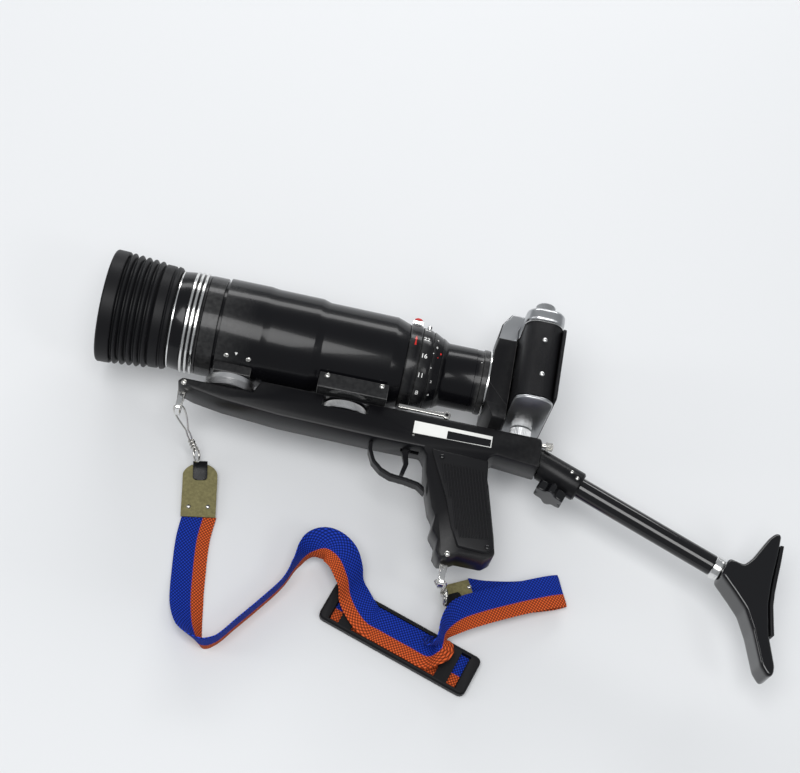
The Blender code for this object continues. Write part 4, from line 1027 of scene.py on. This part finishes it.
class CAMERAGUN_OT_underside(bpy.types.Operator):
    """Lens foot, focus housing, focus wheel and clamp wheel"""
    bl_idname = "camera_gun.underside"
    bl_label = "Foot and Wheels"

    def execute(self, context):
        s = context.scene.camera_gun
        belong(fine_copy("lens_foot", "lens_black", 0.9, 3), "frame", "lens_black", "lens_foot")
        belong(fine_copy("focus_housing", "lens_black", 0.9, 3), "frame", "lens_black", "focus_housing")
        radius = half("focus_wheel")
        bottom, top = span("focus_wheel", 1)
        rim = [(top, 0.0), (top, radius - 0.8), (top - 0.5, radius - 0.2), (bottom + 5.2, radius - 0.2),
            (bottom + 4.9, radius - 0.7)]
        pitch = 4.6 / 5
        for i in range(5):
            y = bottom + 4.8 - i * pitch
            rim += [(y - 0.12, radius - 0.9), (y - 0.25, radius), (y - pitch + 0.25, radius),
                (y - pitch + 0.12, radius - 0.9)]
        rim += [(bottom, radius - 1.2), (bottom, 0.0)]
        wheel = turned("focus_wheel_ribbed", [rim], "turned_aluminium", origin=upright_axis("focus_wheel"),
            direction=GUN_UP)
        belong(wheel, "focus_drive", "turned_aluminium", "focus_wheel")
        origin = upright_axis("lens_clamp_wheel")
        radius = half("lens_clamp_wheel")
        bottom, top = span("lens_clamp_wheel", 1)
        core = turned("clamp_wheel_core", [[(bottom, 0.0), (bottom, radius - 1.4),
            (bottom + 0.6, radius - 0.7), (top - 0.6, radius - 0.7), (top, radius - 1.4), (top, 0.0)]],
            "turned_aluminium", origin=origin, direction=GUN_UP)
        belong(core, "clamp", "turned_aluminium", "lens_clamp_wheel")
        teeth = knurl("clamp_wheel_teeth", origin, GUN_UP, radius - 0.75, bottom + 0.6, top - 0.6,
            s.wheel_teeth, 0.5, "turned_aluminium")
        belong(teeth, "clamp", "turned_aluminium")
        origin = upright_axis("camera_screw_knob")
        radius = half("camera_screw_knob")
        bottom, top = span("camera_screw_knob", 1)
        knob = turned("camera_screw_knob_core", [[(bottom, 0.0), (bottom, radius - 1.2),
            (bottom + 0.5, radius - 0.6), (top - 0.5, radius - 0.6), (top, radius - 1.1), (top, 0.0)]],
            "turned_aluminium", origin=origin, direction=GUN_UP, steps=96)
        belong(knob, "camera_screw", "turned_aluminium", "camera_screw_knob")
        ridges = knurl("camera_screw_knob_teeth", origin, GUN_UP, radius - 0.6, bottom + 0.5, top - 0.5, 40,
            0.45, "turned_aluminium")
        belong(ridges, "camera_screw", "turned_aluminium")
        return {"FINISHED"}


def camera_outline(inset, front, rear):
    """The camera's rounded outline, seen along its height."""
    side = AXIS_HEIGHT - inset
    return rounded((front, -side), (rear, side), min(12.0, (rear - front) / 2 - 0.5), 10)


class CAMERAGUN_OT_camera(bpy.types.Operator):
    """Camera body, covers, prism and controls"""
    bl_idname = "camera_gun.camera"
    bl_label = "Camera"

    def execute(self, context):
        front, rear = span("camera_body")
        bottom, top = span("camera_body", 1)
        body = slab("camera_body_grained", camera_outline(0, front, rear), bottom, top, "leatherette", "XZ",
            bevel=0.4, segments=2)
        room = block("film_room", (front + 3, bottom + 3, -57), (rear + 1, top - 3, 57))
        throat = block("light_throat", (front - 1, -18.5, -18.5), (front + 4, 18.5, 18.5))
        belong(shade(carve(body, room, throat), 40), "frame", "leatherette", "camera_body")
        cover_bottom, cover_top = span("top_cover", 1)
        cover = slab("top_cover_chrome", camera_outline(0, front - 1, rear + 1.5), cover_bottom, cover_top,
            "satin_chrome", "XZ", bevel=4.0, segments=8)
        well = turned("button_well", [[(cover_top - 6, 0.0), (cover_top - 6, 3.8), (cover_top + 1, 3.8),
            (cover_top + 1, 0.0)]], "satin_chrome", origin=gun(23.5, 0, -43), direction=GUN_UP, steps=48)
        belong(shade(carve(cover, well), 30), "frame", "satin_chrome", "top_cover")
        base = slab("base_plate_chrome", camera_outline(0.4, front - 0.5, rear + 1.5), *span("base_plate", 1),
            "satin_chrome", "XZ", bevel=1.2, segments=4)
        belong(base, "frame", "satin_chrome", "base_plate")
        seam = slab("cover_seam", camera_outline(-0.25, front - 0.8, rear + 0.8), top - 0.7, top - 0.1,
            "silver_rings", "XZ", bevel=0.2, segments=2, holes=[
            camera_outline(2.0, front + 1.5, rear - 1.5)[::-1]])
        belong(seam, "frame", "satin_chrome")
        box = fine_copy("mirror_box", "camera_black", 0.4, 2)
        belong(box, "frame", "camera_black", "mirror_box")
        side = 27.0
        crease = slab("mirror_box_crease", [(-2.2, -12.0), (11, -26.0), (14.6, -29.2), (14.6, -28.2),
            (11.4, -25.1), (-2.2, -10.9)], side - 0.2, side + 0.35, "camera_black", bevel=0.12, segments=2)
        belong(crease, "frame", "camera_black")
        shoe = slab("mirror_box_shoe", [(-2.4, -28.6), (4.2, -41.2), (15.0, -41.2), (15.0, -29.6),
            (8, -29.8)], side - 0.2, side + 0.5, "stock_black", bevel=0.2, segments=2)
        belong(shoe, "frame", "camera_black")
        prism = fine_copy("prism_cover", "satin_chrome")
        prism.data.materials.append(FINISH["camera_black"])
        for face in prism.data.polygons:
            if face.normal.x < -0.35 and face.center.y > 0.036:
                face.material_index = 1
        belong(soften_edges(prism, 0.45, 3), "frame", "satin_chrome", "prism_cover")
        door = fine_copy("back_door", "leatherette", 0.9, 3)
        belong(door, "door", "leatherette", "back_door")
        profile = [(9.0, 0.0), (9.0, 5.2), (10.5, 5.6), (10.5, 7.6), (9.7, 8.5), (2.0, 8.5), (1.8, 0.0)]
        ring = turned("eyepiece_ring", [profile], "gloss_black", origin=gun(rear, cover_top - 5),
            direction=(1, 0, 0), steps=64)
        belong(ring, "frame", "gloss_black", "eyepiece")
        for node, body_name, count in (("rewind_knob", "rewind", 40), ("speed_dial", "dial", 36)):
            low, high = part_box(node)
            centre = [(a + b) / 2 for a, b in zip(low, high)]
            radius = (high[0] - low[0]) / 2 / MM
            origin = Vector((centre[0], low[1], centre[2]))
            tall = (high[1] - low[1]) / MM
            knob = turned(node + "_turned", [[(0, 0.0), (0, radius - 0.5), (tall - 0.8, radius - 0.5),
                (tall, radius - 1.3), (tall, 2.6), (tall - 0.5, 2.3), (tall - 0.5, 0.0)]], "satin_chrome",
                origin=origin, direction=GUN_UP, steps=96)
            belong(knob, body_name, "satin_chrome", node)
            ridges = knurl(node + "_teeth", origin, GUN_UP, radius - 0.5, 0.8, tall - 1.0, count, 0.34,
                "satin_chrome")
            belong(ridges, body_name, "satin_chrome")
        for node, body_name in (("wind_lever", "wind"), ("self_timer_lever", "timer"),
                ("shutter_button", "button")):
            belong(fine_copy(node, "satin_chrome", 0.5, 3), body_name, "satin_chrome", node)
        return {"FINISHED"}


class CAMERAGUN_OT_gunstock(bpy.types.Operator):
    """Gunstock casting, nameplate, trigger, guard, rod and thumb screw"""
    bl_idname = "camera_gun.gunstock"
    bl_label = "Gunstock"

    def execute(self, context):
        belong(fine_copy("gunstock_frame", "stock_black"), "frame", "stock_black", "gunstock_frame")
        left, right = span("nameplate")
        bottom, top = span("nameplate", 1)
        face = span("nameplate", 2)[1]
        belong(fine_copy("nameplate", "label", 0.15, 2), "frame", "label", "nameplate")
        split = left + (right - left) * 0.43
        field = [(split, bottom + 0.5), (right - 0.8, bottom + 1.3), (right - 0.8, top - 3.3),
            (split, top - 3.3)]
        belong(slab("nameplate_dark_field", field, face - 0.1, face + 0.06, "gloss_black"), "frame", "label")
        belong(moulded("trigger", "stock_black", 0.35, 8, "trigger_moulded"), "trigger_lever", "stock_black",
            "trigger")
        belong(moulded("trigger_guard", "stock_black", 0.6, 6, "trigger_guard_cast"), "frame", "stock_black",
            "trigger_guard")
        rod = fine_copy("release_rod", "plated_steel", 0.4, 3)
        belong(rod, "rod", "plated_steel", "release_rod")
        rod_y = STOCK_TOP + 3.5
        eye = turned("release_rod_eye", [[(15.3, 0.0), (15.3, 1.5), (15.75, 1.5), (15.75, 0.0)]],
            "gloss_black", origin=gun(-33, rod_y), direction=(0, 0, 1), steps=32)
        belong(eye, "rod", "plated_steel")
        low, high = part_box("thumb_screw")
        centre = Vector((low[0], (low[1] + high[1]) / 2, (low[2] + high[2]) / 2))
        screw = turned("thumb_screw_turned", [[(0, 0.0), (0, 2.0), (2.9, 2.0), (3.1, 3.2), (9.0, 3.3),
            (9.5, 2.8), (9.5, 0.0)]], "plated_steel", origin=centre, direction=(1, 0, 0), steps=64)
        belong(screw, "thumb", "plated_steel", "thumb_screw")
        belong(knurl("thumb_screw_teeth", centre, (1, 0, 0), 3.3, 3.3, 8.8, 26, 0.32, "plated_steel"),
            "thumb", "plated_steel")
        for node in ("front_swivel_lug", "rear_swivel_lug"):
            belong(fine_copy(node, "plated_steel", 0.5, 3), "frame", "plated_steel", node)
        return {"FINISHED"}


def crossings(point, direction, outline):
    """Where a line crosses a closed outline, as distances along it."""
    found = []
    for (ax, ay), (bx, by) in zip(outline, outline[1:] + outline[:1]):
        ex, ey = bx - ax, by - ay
        cross = direction[0] * ey - direction[1] * ex
        if abs(cross) < 1e-9:
            continue
        t = ((ax - point[0]) * ey - (ay - point[1]) * ex) / cross
        s = ((ax - point[0]) * direction[1] - (ay - point[1]) * direction[0]) / cross
        if 0 <= s < 1:
            found.append(t)
    return sorted(found)


class CAMERAGUN_OT_grip(bpy.types.Operator):
    """Grip panels with their long ribs"""
    bl_idname = "camera_gun.grip"
    bl_label = "Grip Panels"

    def execute(self, context):
        pitch = context.scene.camera_gun.grip_rib_pitch / MM
        ribbed = [(x, STOCK_TOP + y) for x, y in [(-31, -42), (7, -42), (9, -54), (18, -90), (19.5, -101),
            (-6, -104), (-11, -95), (-19, -71), (-30, -48)]]
        direction = Vector((12.0, -46.0)).normalized()
        across = Vector((-direction.y, direction.x))
        for node, sign in (("grip_panel_left", 1), ("grip_panel_right", -1)):
            belong(fine_copy(node, "grip_plastic", 0.4, 2), "frame", "grip_plastic", node)
            height = sign * (PANEL_FACE - 0.35)
            runs = []
            for i in range(-14, 15):
                middle = Vector((0.0, STOCK_TOP - 72.0)) + across * (i * pitch)
                ends = crossings(middle, direction, ribbed)
                if len(ends) >= 2 and ends[-1] - ends[0] > 6:
                    a, b = middle + direction * ends[0], middle + direction * ends[-1]
                    runs.append((gun(a.x, a.y, height), gun(b.x, b.y, height)))
            belong(bars(node + "_ribs", runs, 1.05, "grip_plastic", 12), "frame", "grip_plastic")
        return {"FINISHED"}


class CAMERAGUN_OT_shoulder_stock(bpy.types.Operator):
    """Socket, tube, collar, star knob and shoulder rest"""
    bl_idname = "camera_gun.shoulder_stock"
    bl_label = "Shoulder Stock"

    def execute(self, context):
        direction = (math.cos(TUBE_ANGLE), math.sin(TUBE_ANGLE), 0)
        origin = gun(*on_tube(0))
        belong(fine_copy("stock_socket", "stock_black", 0.3, 2), "frame", "stock_black", "stock_socket")
        start, stop = 9.0, 172.0
        tube = turned("stock_tube_painted", [[(start, 7.5), (start, 8.6), (start + 0.4, 9.0),
            (stop - 0.4, 9.0), (stop, 8.6), (stop, 7.5)]], "gloss_black", origin=origin, direction=direction)
        belong(tube, "stock", "stock_black", "stock_tube")
        collar = turned("stock_collar_polished", [[(stop + GAP, 0.0), (stop + GAP, 9.6), (stop + 0.9, 10.2),
            (stop + 5.4, 10.2), (stop + 5.8, 9.8), (stop + 6.2, 9.8), (stop + 6.6, 10.2), (stop + 7.6, 10.0),
            (stop + 8.0, 9.4), (stop + 8.0, 0.0)]], "silver_rings", origin=origin, direction=direction)
        belong(collar, "stock", "silver_rings", "stock_collar")
        belong(moulded("star_knob", "gloss_black", 0.5, 8, "star_knob_moulded"), "star", "gloss_black",
            "star_knob")
        belong(moulded("shoulder_rest", "gloss_black", 1.0, 26, "shoulder_rest_moulded"), "rest",
            "gloss_black", "shoulder_rest")
        pad = fine_copy("rest_pad", "hood_rubber", 0.4, 2)
        belong(pad, "rest", "hood_rubber", "rest_pad")
        low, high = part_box("rest_pad")
        runs = []
        count = 40
        middle = (low[2] + high[2]) / 2
        for i in range(count):
            y = low[1] + (high[1] - low[1]) * (i + 0.5) / count
            struck, place, _, _ = pad.ray_cast(Vector((high[0] + 0.01, y, middle)), Vector((-1, 0, 0)))
            if struck:
                x = place.x - 0.4 * MM
                runs.append((Vector((x, y, low[2] + 0.001)), Vector((x, y, high[2] - 0.001))))
        belong(bars("rest_pad_ridges", runs, 0.8, "hood_rubber", 10), "rest", "hood_rubber")
        return {"FINISHED"}


def screw_head(slots=1, flat=0.55):
    """A domed head of radius 1 with a slot or a cross."""
    profile = [(-0.3, 0.0), (-0.3, 0.98)] + [(flat * math.sin(t / 6 * math.pi / 2),
        1.0 * math.cos(t / 6 * math.pi / 2)) for t in range(7)]
    head = turned("screw_head", [profile], "plated_steel", origin=Vector((0, 0, 0)), direction=(0, 0, 1),
        steps=24)
    head.data.transform(Matrix.Scale(1 / MM, 4))
    if slots:
        cutter = bpy.data.meshes.new("slot_tool")
        shape = bmesh.new()
        for turn in range(slots):
            place = Matrix.Rotation(math.radians(35 + 90 * turn), 4, "Z") @ Matrix.Translation((0, 0, flat))
            bmesh.ops.create_cube(shape, size=1.0, matrix=place @ Matrix.Diagonal((2.4, 0.26, 0.6, 1)))
        shape.to_mesh(cutter)
        shape.free()
        carve(head, add("slot_tool", cutter))
    return shade(head, 40)


def fasten(name, places, head, radius, material, body, slot):
    """Put heads on (place, facing) pairs of one body."""
    piece = pointed(name, [p for p, _ in places], [f for _, f in places], "facing")
    grow(piece, "fasteners", Head=head, Head_Radius=radius * MM, Material=FINISH[material])
    return belong(shade(piece, 40), body, slot)


class CAMERAGUN_OT_screws(bpy.types.Operator):
    """Screws on the lens, stock and camera, and the tabs' rivets"""
    bl_idname = "camera_gun.screws"
    bl_label = "Screws and Rivets"

    def execute(self, context):
        slotted, domed = screw_head(), screw_head(0, 0.75)
        out = Vector((0, 0, 1))
        barrel_way = Vector((0, -0.81, 0.586))
        lens = [(gun(x, barrel_way.y * BARREL_R, barrel_way.z * BARREL_R), barrel_way) for x in (-226, -207)]
        foot_face = span("lens_foot", 2)[1]
        foot = [(gun(x, -36.0, foot_face), out) for x in (-139, -92)]
        fasten("lens_screws", lens + foot, slotted, 2.5, "plated_steel", "frame", "plated_steel")
        stock = [(gun(-256, STOCK_TOP - 15.6, STOCK_FACE), out), (gun(-13, -166.5, STOCK_FACE), out)]
        fasten("swivel_screws", stock, slotted, 2.6, "plated_steel", "frame", "plated_steel")
        grip = [(gun(x, y, sign * PANEL_FACE), out * sign) for x,
            y in ((-31, -84), (18.5, -155.5)) for sign in (1, -1)]
        fasten("grip_screws", grip, slotted, 2.3, "gloss_black", "frame", "grip_plastic")
        socket = [(gun(*on_tube(along, side, 13.0)), out) for along, side in ((31, 3.2), (37.5, 0.6))]
        fasten("socket_screws", socket, domed, 1.8, "plated_steel", "frame", "plated_steel")
        contacts = [(gun(x, y, AXIS_HEIGHT - 0.2), out) for x, y in ((33.5, 17.6), (35.3, -14))]
        fasten("flash_contacts", contacts, domed, 2.3, "silver_rings", "frame", "silver_rings")
        rivets = [(Vector(p), Vector(f)) for p, f in TAB_RIVETS]
        fasten("tab_rivets", rivets, domed, 2.1, "plated_steel", "sling", "plated_steel")
        for head in (slotted, domed):
            bpy.data.objects.remove(head)
        return {"FINISHED"}


# ---- sling ----

PAD_CENTRE = (-34.0, -221.0)
PAD_ANGLE = math.atan2(-42.0, 126.5)
PAD_ALONG = Vector((math.cos(PAD_ANGLE), math.sin(PAD_ANGLE), 0))
PAD_ACROSS = Vector((PAD_ALONG.y, -PAD_ALONG.x, 0))


def ground(points):
    """Route points of (X, Y, height above the ground) and the way across, in the frame's metres."""
    return [(gun(x, y, z - AXIS_HEIGHT), Vector(way).normalized()) for (x, y, z), way in points]


def on_pad(along, height):
    """A route point along the pad's middle line, and its way across."""
    place = Vector((*PAD_CENTRE, height)) + PAD_ALONG * along
    return tuple(place), tuple(PAD_ACROSS)


WEBBING_ROUTE = [((-223, -146, 2.0), (1, 0.2, 0)), ((-224, -170, 1.4), (1, 0.1, 0)),
    ((-221, -200, 1.4), (1, 0.0, 0)), ((-217, -226, 4.0), (0.95, 0.1, -0.2)),
    ((-210, -248, 10.0), (0.7, 0.1, -0.6)), ((-199, -261, 15.0), (0.2, 0.0, -1)),
    ((-186, -257, 15.2), (0, 0, -1)), ((-171, -238, 15.2), (0, 0, -1)), ((-155, -217, 15.2), (0, 0, -1)),
    ((-141, -197, 16.0), (0, 0, -1)), ((-133, -179, 20.0), (0.0, -0.2, -1)),
    ((-124, -166, 27.0), (-0.1, -0.5, -0.8)), ((-111, -161, 33.0), (-0.2, -0.8, -0.5)),
    ((-97, -167, 32.0), (-0.3, -0.9, -0.2)), ((-87, -180, 25.0), (-0.35, -0.93, 0)),
    ((-80, -194, 15.0), (-0.33, -0.95, 0)), on_pad(-33, 11.5), on_pad(-18, 8.2), on_pad(10, 8.2),
    on_pad(29, 11.5), ((-1, -223, 25.0), (0.3, -0.2, -1)), ((1, -211, 27.0), (0.3, -0.4, -0.9)),
    ((11, -197, 25.0), (0.4, -0.8, -0.45)), ((30, -184, 19.0), (0.41, -0.91, -0.1)),
    ((60, -168, 14.0), (0.41, -0.91, 0)), ((86, -156, 12.0), (0.41, -0.91, 0)),
    ((97, -151, 7.0), (0.41, -0.91, 0)), ((86, -155, 2.2), (0.41, -0.91, 0)),
    ((60, -163, 1.4), (0.3, -0.95, 0)), ((34, -168, 1.6), (0.15, -0.99, 0)), ((17, -170, 4.5), (0.1, -1, 0)),]
FRONT_TAB = [((-232, -104.5, 9.0), (1, 0.2, 0)), ((-229, -120, 6.0), (1, 0.2, 0)),
    ((-224, -150, 4.4), (1, 0.2, 0))]
REAR_TAB = [((1, -183, 11), (0.2, -1, 0)), ((9, -178, 8), (0.2, -1, 0)), ((22, -171, 6.8), (0.1, -1, 0))]


def tab_place(tab, t, side, lift):
    """A point on a tab's upper face."""
    rows = smooth_route(ground(tab), 20)
    i = min(int(t * (len(rows) - 1)), len(rows) - 2)
    point, way = rows[i]
    ahead = (rows[i + 1][0] - point).normalized()
    up = way.cross(ahead)
    up = up if up.z > 0 else -up
    return tuple(point + way * side * MM + up * lift * MM), tuple(up)


RIVET_PLACES = ((0.84, -8.5), (0.84, 8.0), (0.28, 0.0))
TAB_RIVETS = [tab_place(tab, t, side, 1.0) for tab in (FRONT_TAB, REAR_TAB) for t, side in RIVET_PLACES]


class CAMERAGUN_OT_webbing(bpy.types.Operator):
    """Weave the strap, its suede tabs and the leather loops"""
    bl_idname = "camera_gun.webbing"
    bl_label = "Webbing"

    def execute(self, context):
        strap, length = band("strap_webbing_woven", ground(WEBBING_ROUTE), WEBBING_WIDTH, 1.6, "webbing", 10)
        belong(strap, "sling", "webbing", "strap_webbing")

        def nose(t):
            """A tab's shoulders: narrow at the ring, full width past a third."""
            return 1.0 if t > 0.34 else 0.5 + 0.5 * math.sin(t / 0.34 * math.pi / 2)

        def tongue(t):
            """A leather loop's rounded end."""
            return 1.0 if t < 0.8 else math.sqrt(max(0.1, 1 - ((t - 0.8) / 0.2) ** 2 * 0.75))

        for name, tab in (("front_tab", FRONT_TAB), ("rear_tab", REAR_TAB)):
            suede, _ = band(name + "_suede", ground(tab), WEBBING_WIDTH + 1, 2.2, "suede", 12, nose)
            belong(suede, "sling", "suede", name)
            rows = smooth_route(ground(tab), 10)
            first, way = rows[0]
            ahead = (rows[1][0] - first).normalized()
            up = way.cross(ahead)
            up = up if up.z > 0 else -up
            loop = [(first - ahead * 3.2 * MM, way), (first + ahead * 2 * MM + up * 1.9 * MM, way),
                (first + ahead * 8 * MM + up * 2.0 * MM, way), (first + ahead * 13.5 * MM + up * 1.9 * MM,
                way)]
            leather, _ = band(name + "_loop", loop, 12.5, 1.4, "loop_leather", 8, tongue)
            belong(leather, "sling", "suede")
        return {"FINISHED"}


class CAMERAGUN_OT_metalwork(bpy.types.Operator):
    """Bend the swivels, snap hooks and rings"""
    bl_idname = "camera_gun.metalwork"
    bl_label = "Hooks and Rings"

    def execute(self, context):
        ends = {"front": (Vector((-257.0, STOCK_TOP - 24.0)), Vector((-240, -96, 26 - AXIS_HEIGHT))),
                "rear": (Vector((-13.0, STOCK_TOP - 129.0)), Vector((-5, -183, 30 - AXIS_HEIGHT)))}
        for name, (pin, end) in ends.items():
            x, y = pin
            drop, arm = 13.0, 7.0
            side_view = [(1.0, arm - 0.8), (-4, arm), (2 - drop, arm), (-drop, arm - 2.2)]
            side_view += [(up, -out) for up, out in reversed(side_view)]
            corners = [(x, y + up, out) for up, out in side_view]
            swivel, _ = band(name + "_swivel_strap", [(gun(*c), Vector((1, 0, 0))) for c in corners], 4.4,
                1.3, "silver_rings", 5)
            belong(swivel, "swivel_" + name, "plated_steel", name + "_swivel")
            top = Vector((x, y - drop * 0.55, -arm))
            along = (end - top).normalized()
            side = (Vector((1, 0, 0)) - along * along.x).normalized()
            reach = (end - top).length
            widths = [(-0.085, 0.0), (-0.075, 3.4), (0.02, 4.8), (0.22, 4.4), (0.42, 2.4), (0.55, 0.9),
                (0.66, 1.5), (0.78, 1.3), (0.95, 1.0)]
            path = [top + along * reach * t + side * w for t, w in widths]
            path += [top + along * reach * t - side * w for t, w in reversed(widths[1:])]
            hook = wire(name + "_snap_hook_wire", [gun(*p) for p in path], 0.85, "plated_steel", cyclic=True)
            belong(hook, "sling", "plated_steel", name + "_snap_hook")
            lift = along.cross(side)
            coil = []
            for i in range(46):
                a = i / 45 * 3.2 * math.tau
                round_way = side * math.cos(a) + lift * math.sin(a)
                coil.append(top + along * (reach * 0.80 + i / 45 * reach * 0.26) + round_way * 2.5)
            belong(wire(name + "_hook_coil", [gun(*p) for p in coil], 0.65, "plated_steel"), "sling",
                "plated_steel")
            centre = end + along * 8.6
            turns = [i * math.tau / 24 for i in range(24)]
            ring = [centre + (along * math.cos(a) + lift * math.sin(a)) * 6.7 for a in turns]
            ring = wire(name + "_ring_wire", [gun(*p) for p in ring], 1.1, "plated_steel", cyclic=True)
            belong(ring, "sling", "plated_steel", name + "_d_ring")
        return {"FINISHED"}


class CAMERAGUN_OT_shoulder_pad(bpy.types.Operator):
    """Rubber shoulder pad and the strip under its bars"""
    bl_idname = "camera_gun.shoulder_pad"
    bl_label = "Shoulder Pad"

    def execute(self, context):
        pad = fine_copy("shoulder_pad", "hood_rubber", 0.9, 4)
        belong(pad, "sling", "hood_rubber", "shoulder_pad")
        route = [on_pad(along, 2.9) for along in (-60, -50, -20, 20, 50, 60)]
        strip, length = band("pad_strip_woven", ground(route), WEBBING_WIDTH, 1.4, "webbing", 8)
        belong(strip, "sling", "webbing", "pad_strip")
        return {"FINISHED"}


class CAMERAGUN_OT_inner_pieces(bpy.types.Operator):
    """Give the inner pieces their finishes"""
    bl_idname = "camera_gun.inner_pieces"
    bl_label = "Inner Pieces"

    def execute(self, context):
        looks = {"iris": "lens_black", "rear_element": "optical_glass", "pentaprism": "optical_glass",
            "film_gate": "camera_black", "reflex_mirror": "mirror_glass", "trigger_pin": "plated_steel",
            "release_pin": "plated_steel"}
        for node, material in looks.items():
            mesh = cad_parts[node].data
            mesh.materials.clear()
            mesh.materials.append(FINISH[material])
        return {"FINISHED"}


class CAMERAGUN_OT_stage(bpy.types.Operator):
    """Pale floor, soft studio light and the camera"""
    bl_idname = "camera_gun.stage"
    bl_label = "Stage"

    def execute(self, context):
        s = context.scene.camera_gun
        mesh = bpy.data.meshes.new("floor")
        shape = bmesh.new()
        bmesh.ops.create_grid(shape, x_segments=2, y_segments=2, size=6.0)
        shape.to_mesh(mesh)
        shape.free()
        finish("floor_paper", s.floor, 0.7, drift=(2.0, 0.02, 0.03))
        floor = add("floor", mesh, "floor_paper")
        floor.location.z = -0.0006
        world = bpy.data.worlds.new("studio")
        world.use_nodes = True
        world.node_tree.nodes["Background"].inputs["Color"].default_value = (0.93, 0.96, 1.0, 1)
        world.node_tree.nodes["Background"].inputs["Strength"].default_value = 0.36
        context.scene.world = world
        middle = Vector((0, -0.05, 0.03))
        for name, place, size, power in (("overhead", (-0.3, -0.6, 2.2), (1.3, 1.1), s.key_power),
                ("back", (-0.1, 1.6, 0.8), (2.0, 0.4), 16.0), ("left", (-1.7, -0.3, 1.0), (0.3, 1.0), 3.0),
                ("right", (0.85, -0.67, 1.45), (0.3, 0.45), 2.0)):
            lamp = bpy.data.lights.new(name, "AREA")
            lamp.shape = "RECTANGLE"
            lamp.size, lamp.size_y = size
            lamp.energy = power
            light = bpy.data.objects.new(name, lamp)
            light.location = place
            light.rotation_euler = (middle - Vector(place)).to_track_quat("-Z", "Y").to_euler()
            context.scene.collection.objects.link(light)
        lens = bpy.data.cameras.new("view")
        lens.sensor_width = 36.0
        lens.angle = VIEW_ANGLE
        lens.clip_start = 0.05
        view = bpy.data.objects.new("view", lens)
        forward = VIEW_FORWARD.normalized()
        right = forward.cross(VIEW_UP).normalized()
        turn = Matrix((right, right.cross(forward), -forward)).transposed()
        view.matrix_world = Matrix.Translation(VIEW_PLACE) @ turn.to_4x4()
        context.scene.collection.objects.link(view)
        context.scene.camera = view
        context.scene.view_settings.view_transform = "Standard"
        return {"FINISHED"}


STEPS = (CAMERAGUN_OT_finishes, CAMERAGUN_OT_hood, CAMERAGUN_OT_front_cell, CAMERAGUN_OT_barrel,
    CAMERAGUN_OT_lens_rings, CAMERAGUN_OT_marks, CAMERAGUN_OT_underside, CAMERAGUN_OT_camera,
    CAMERAGUN_OT_gunstock, CAMERAGUN_OT_grip, CAMERAGUN_OT_shoulder_stock, CAMERAGUN_OT_screws,
    CAMERAGUN_OT_webbing, CAMERAGUN_OT_metalwork, CAMERAGUN_OT_shoulder_pad, CAMERAGUN_OT_inner_pieces,
    CAMERAGUN_OT_stage)


class CAMERAGUN_PT_panel(bpy.types.Panel):
    """Settings and steps of the camera gun"""
    bl_idname = "CAMERAGUN_PT_panel"
    bl_label = "Camera Gun"
    bl_space_type = "VIEW_3D"
    bl_region_type = "UI"
    bl_category = "Camera Gun"

    def draw(self, context):
        settings = context.scene.camera_gun
        for name in CameraGunSettings.__annotations__:
            self.layout.prop(settings, name)
        for step in STEPS:
            self.layout.operator(step.bl_idname)


def register():
    for cls in (CameraGunSettings, *STEPS, CAMERAGUN_PT_panel):
        bpy.utils.register_class(cls)
    bpy.types.Scene.camera_gun = PointerProperty(type=CameraGunSettings)


def unregister():
    del bpy.types.Scene.camera_gun
    for cls in reversed((CameraGunSettings, *STEPS, CAMERAGUN_PT_panel)):
        bpy.utils.unregister_class(cls)


def main():
    register()
    for step in STEPS:
        group, name = step.bl_idname.split(".")
        getattr(getattr(bpy.ops, group), name)()


if __name__ == "__main__":
    main()
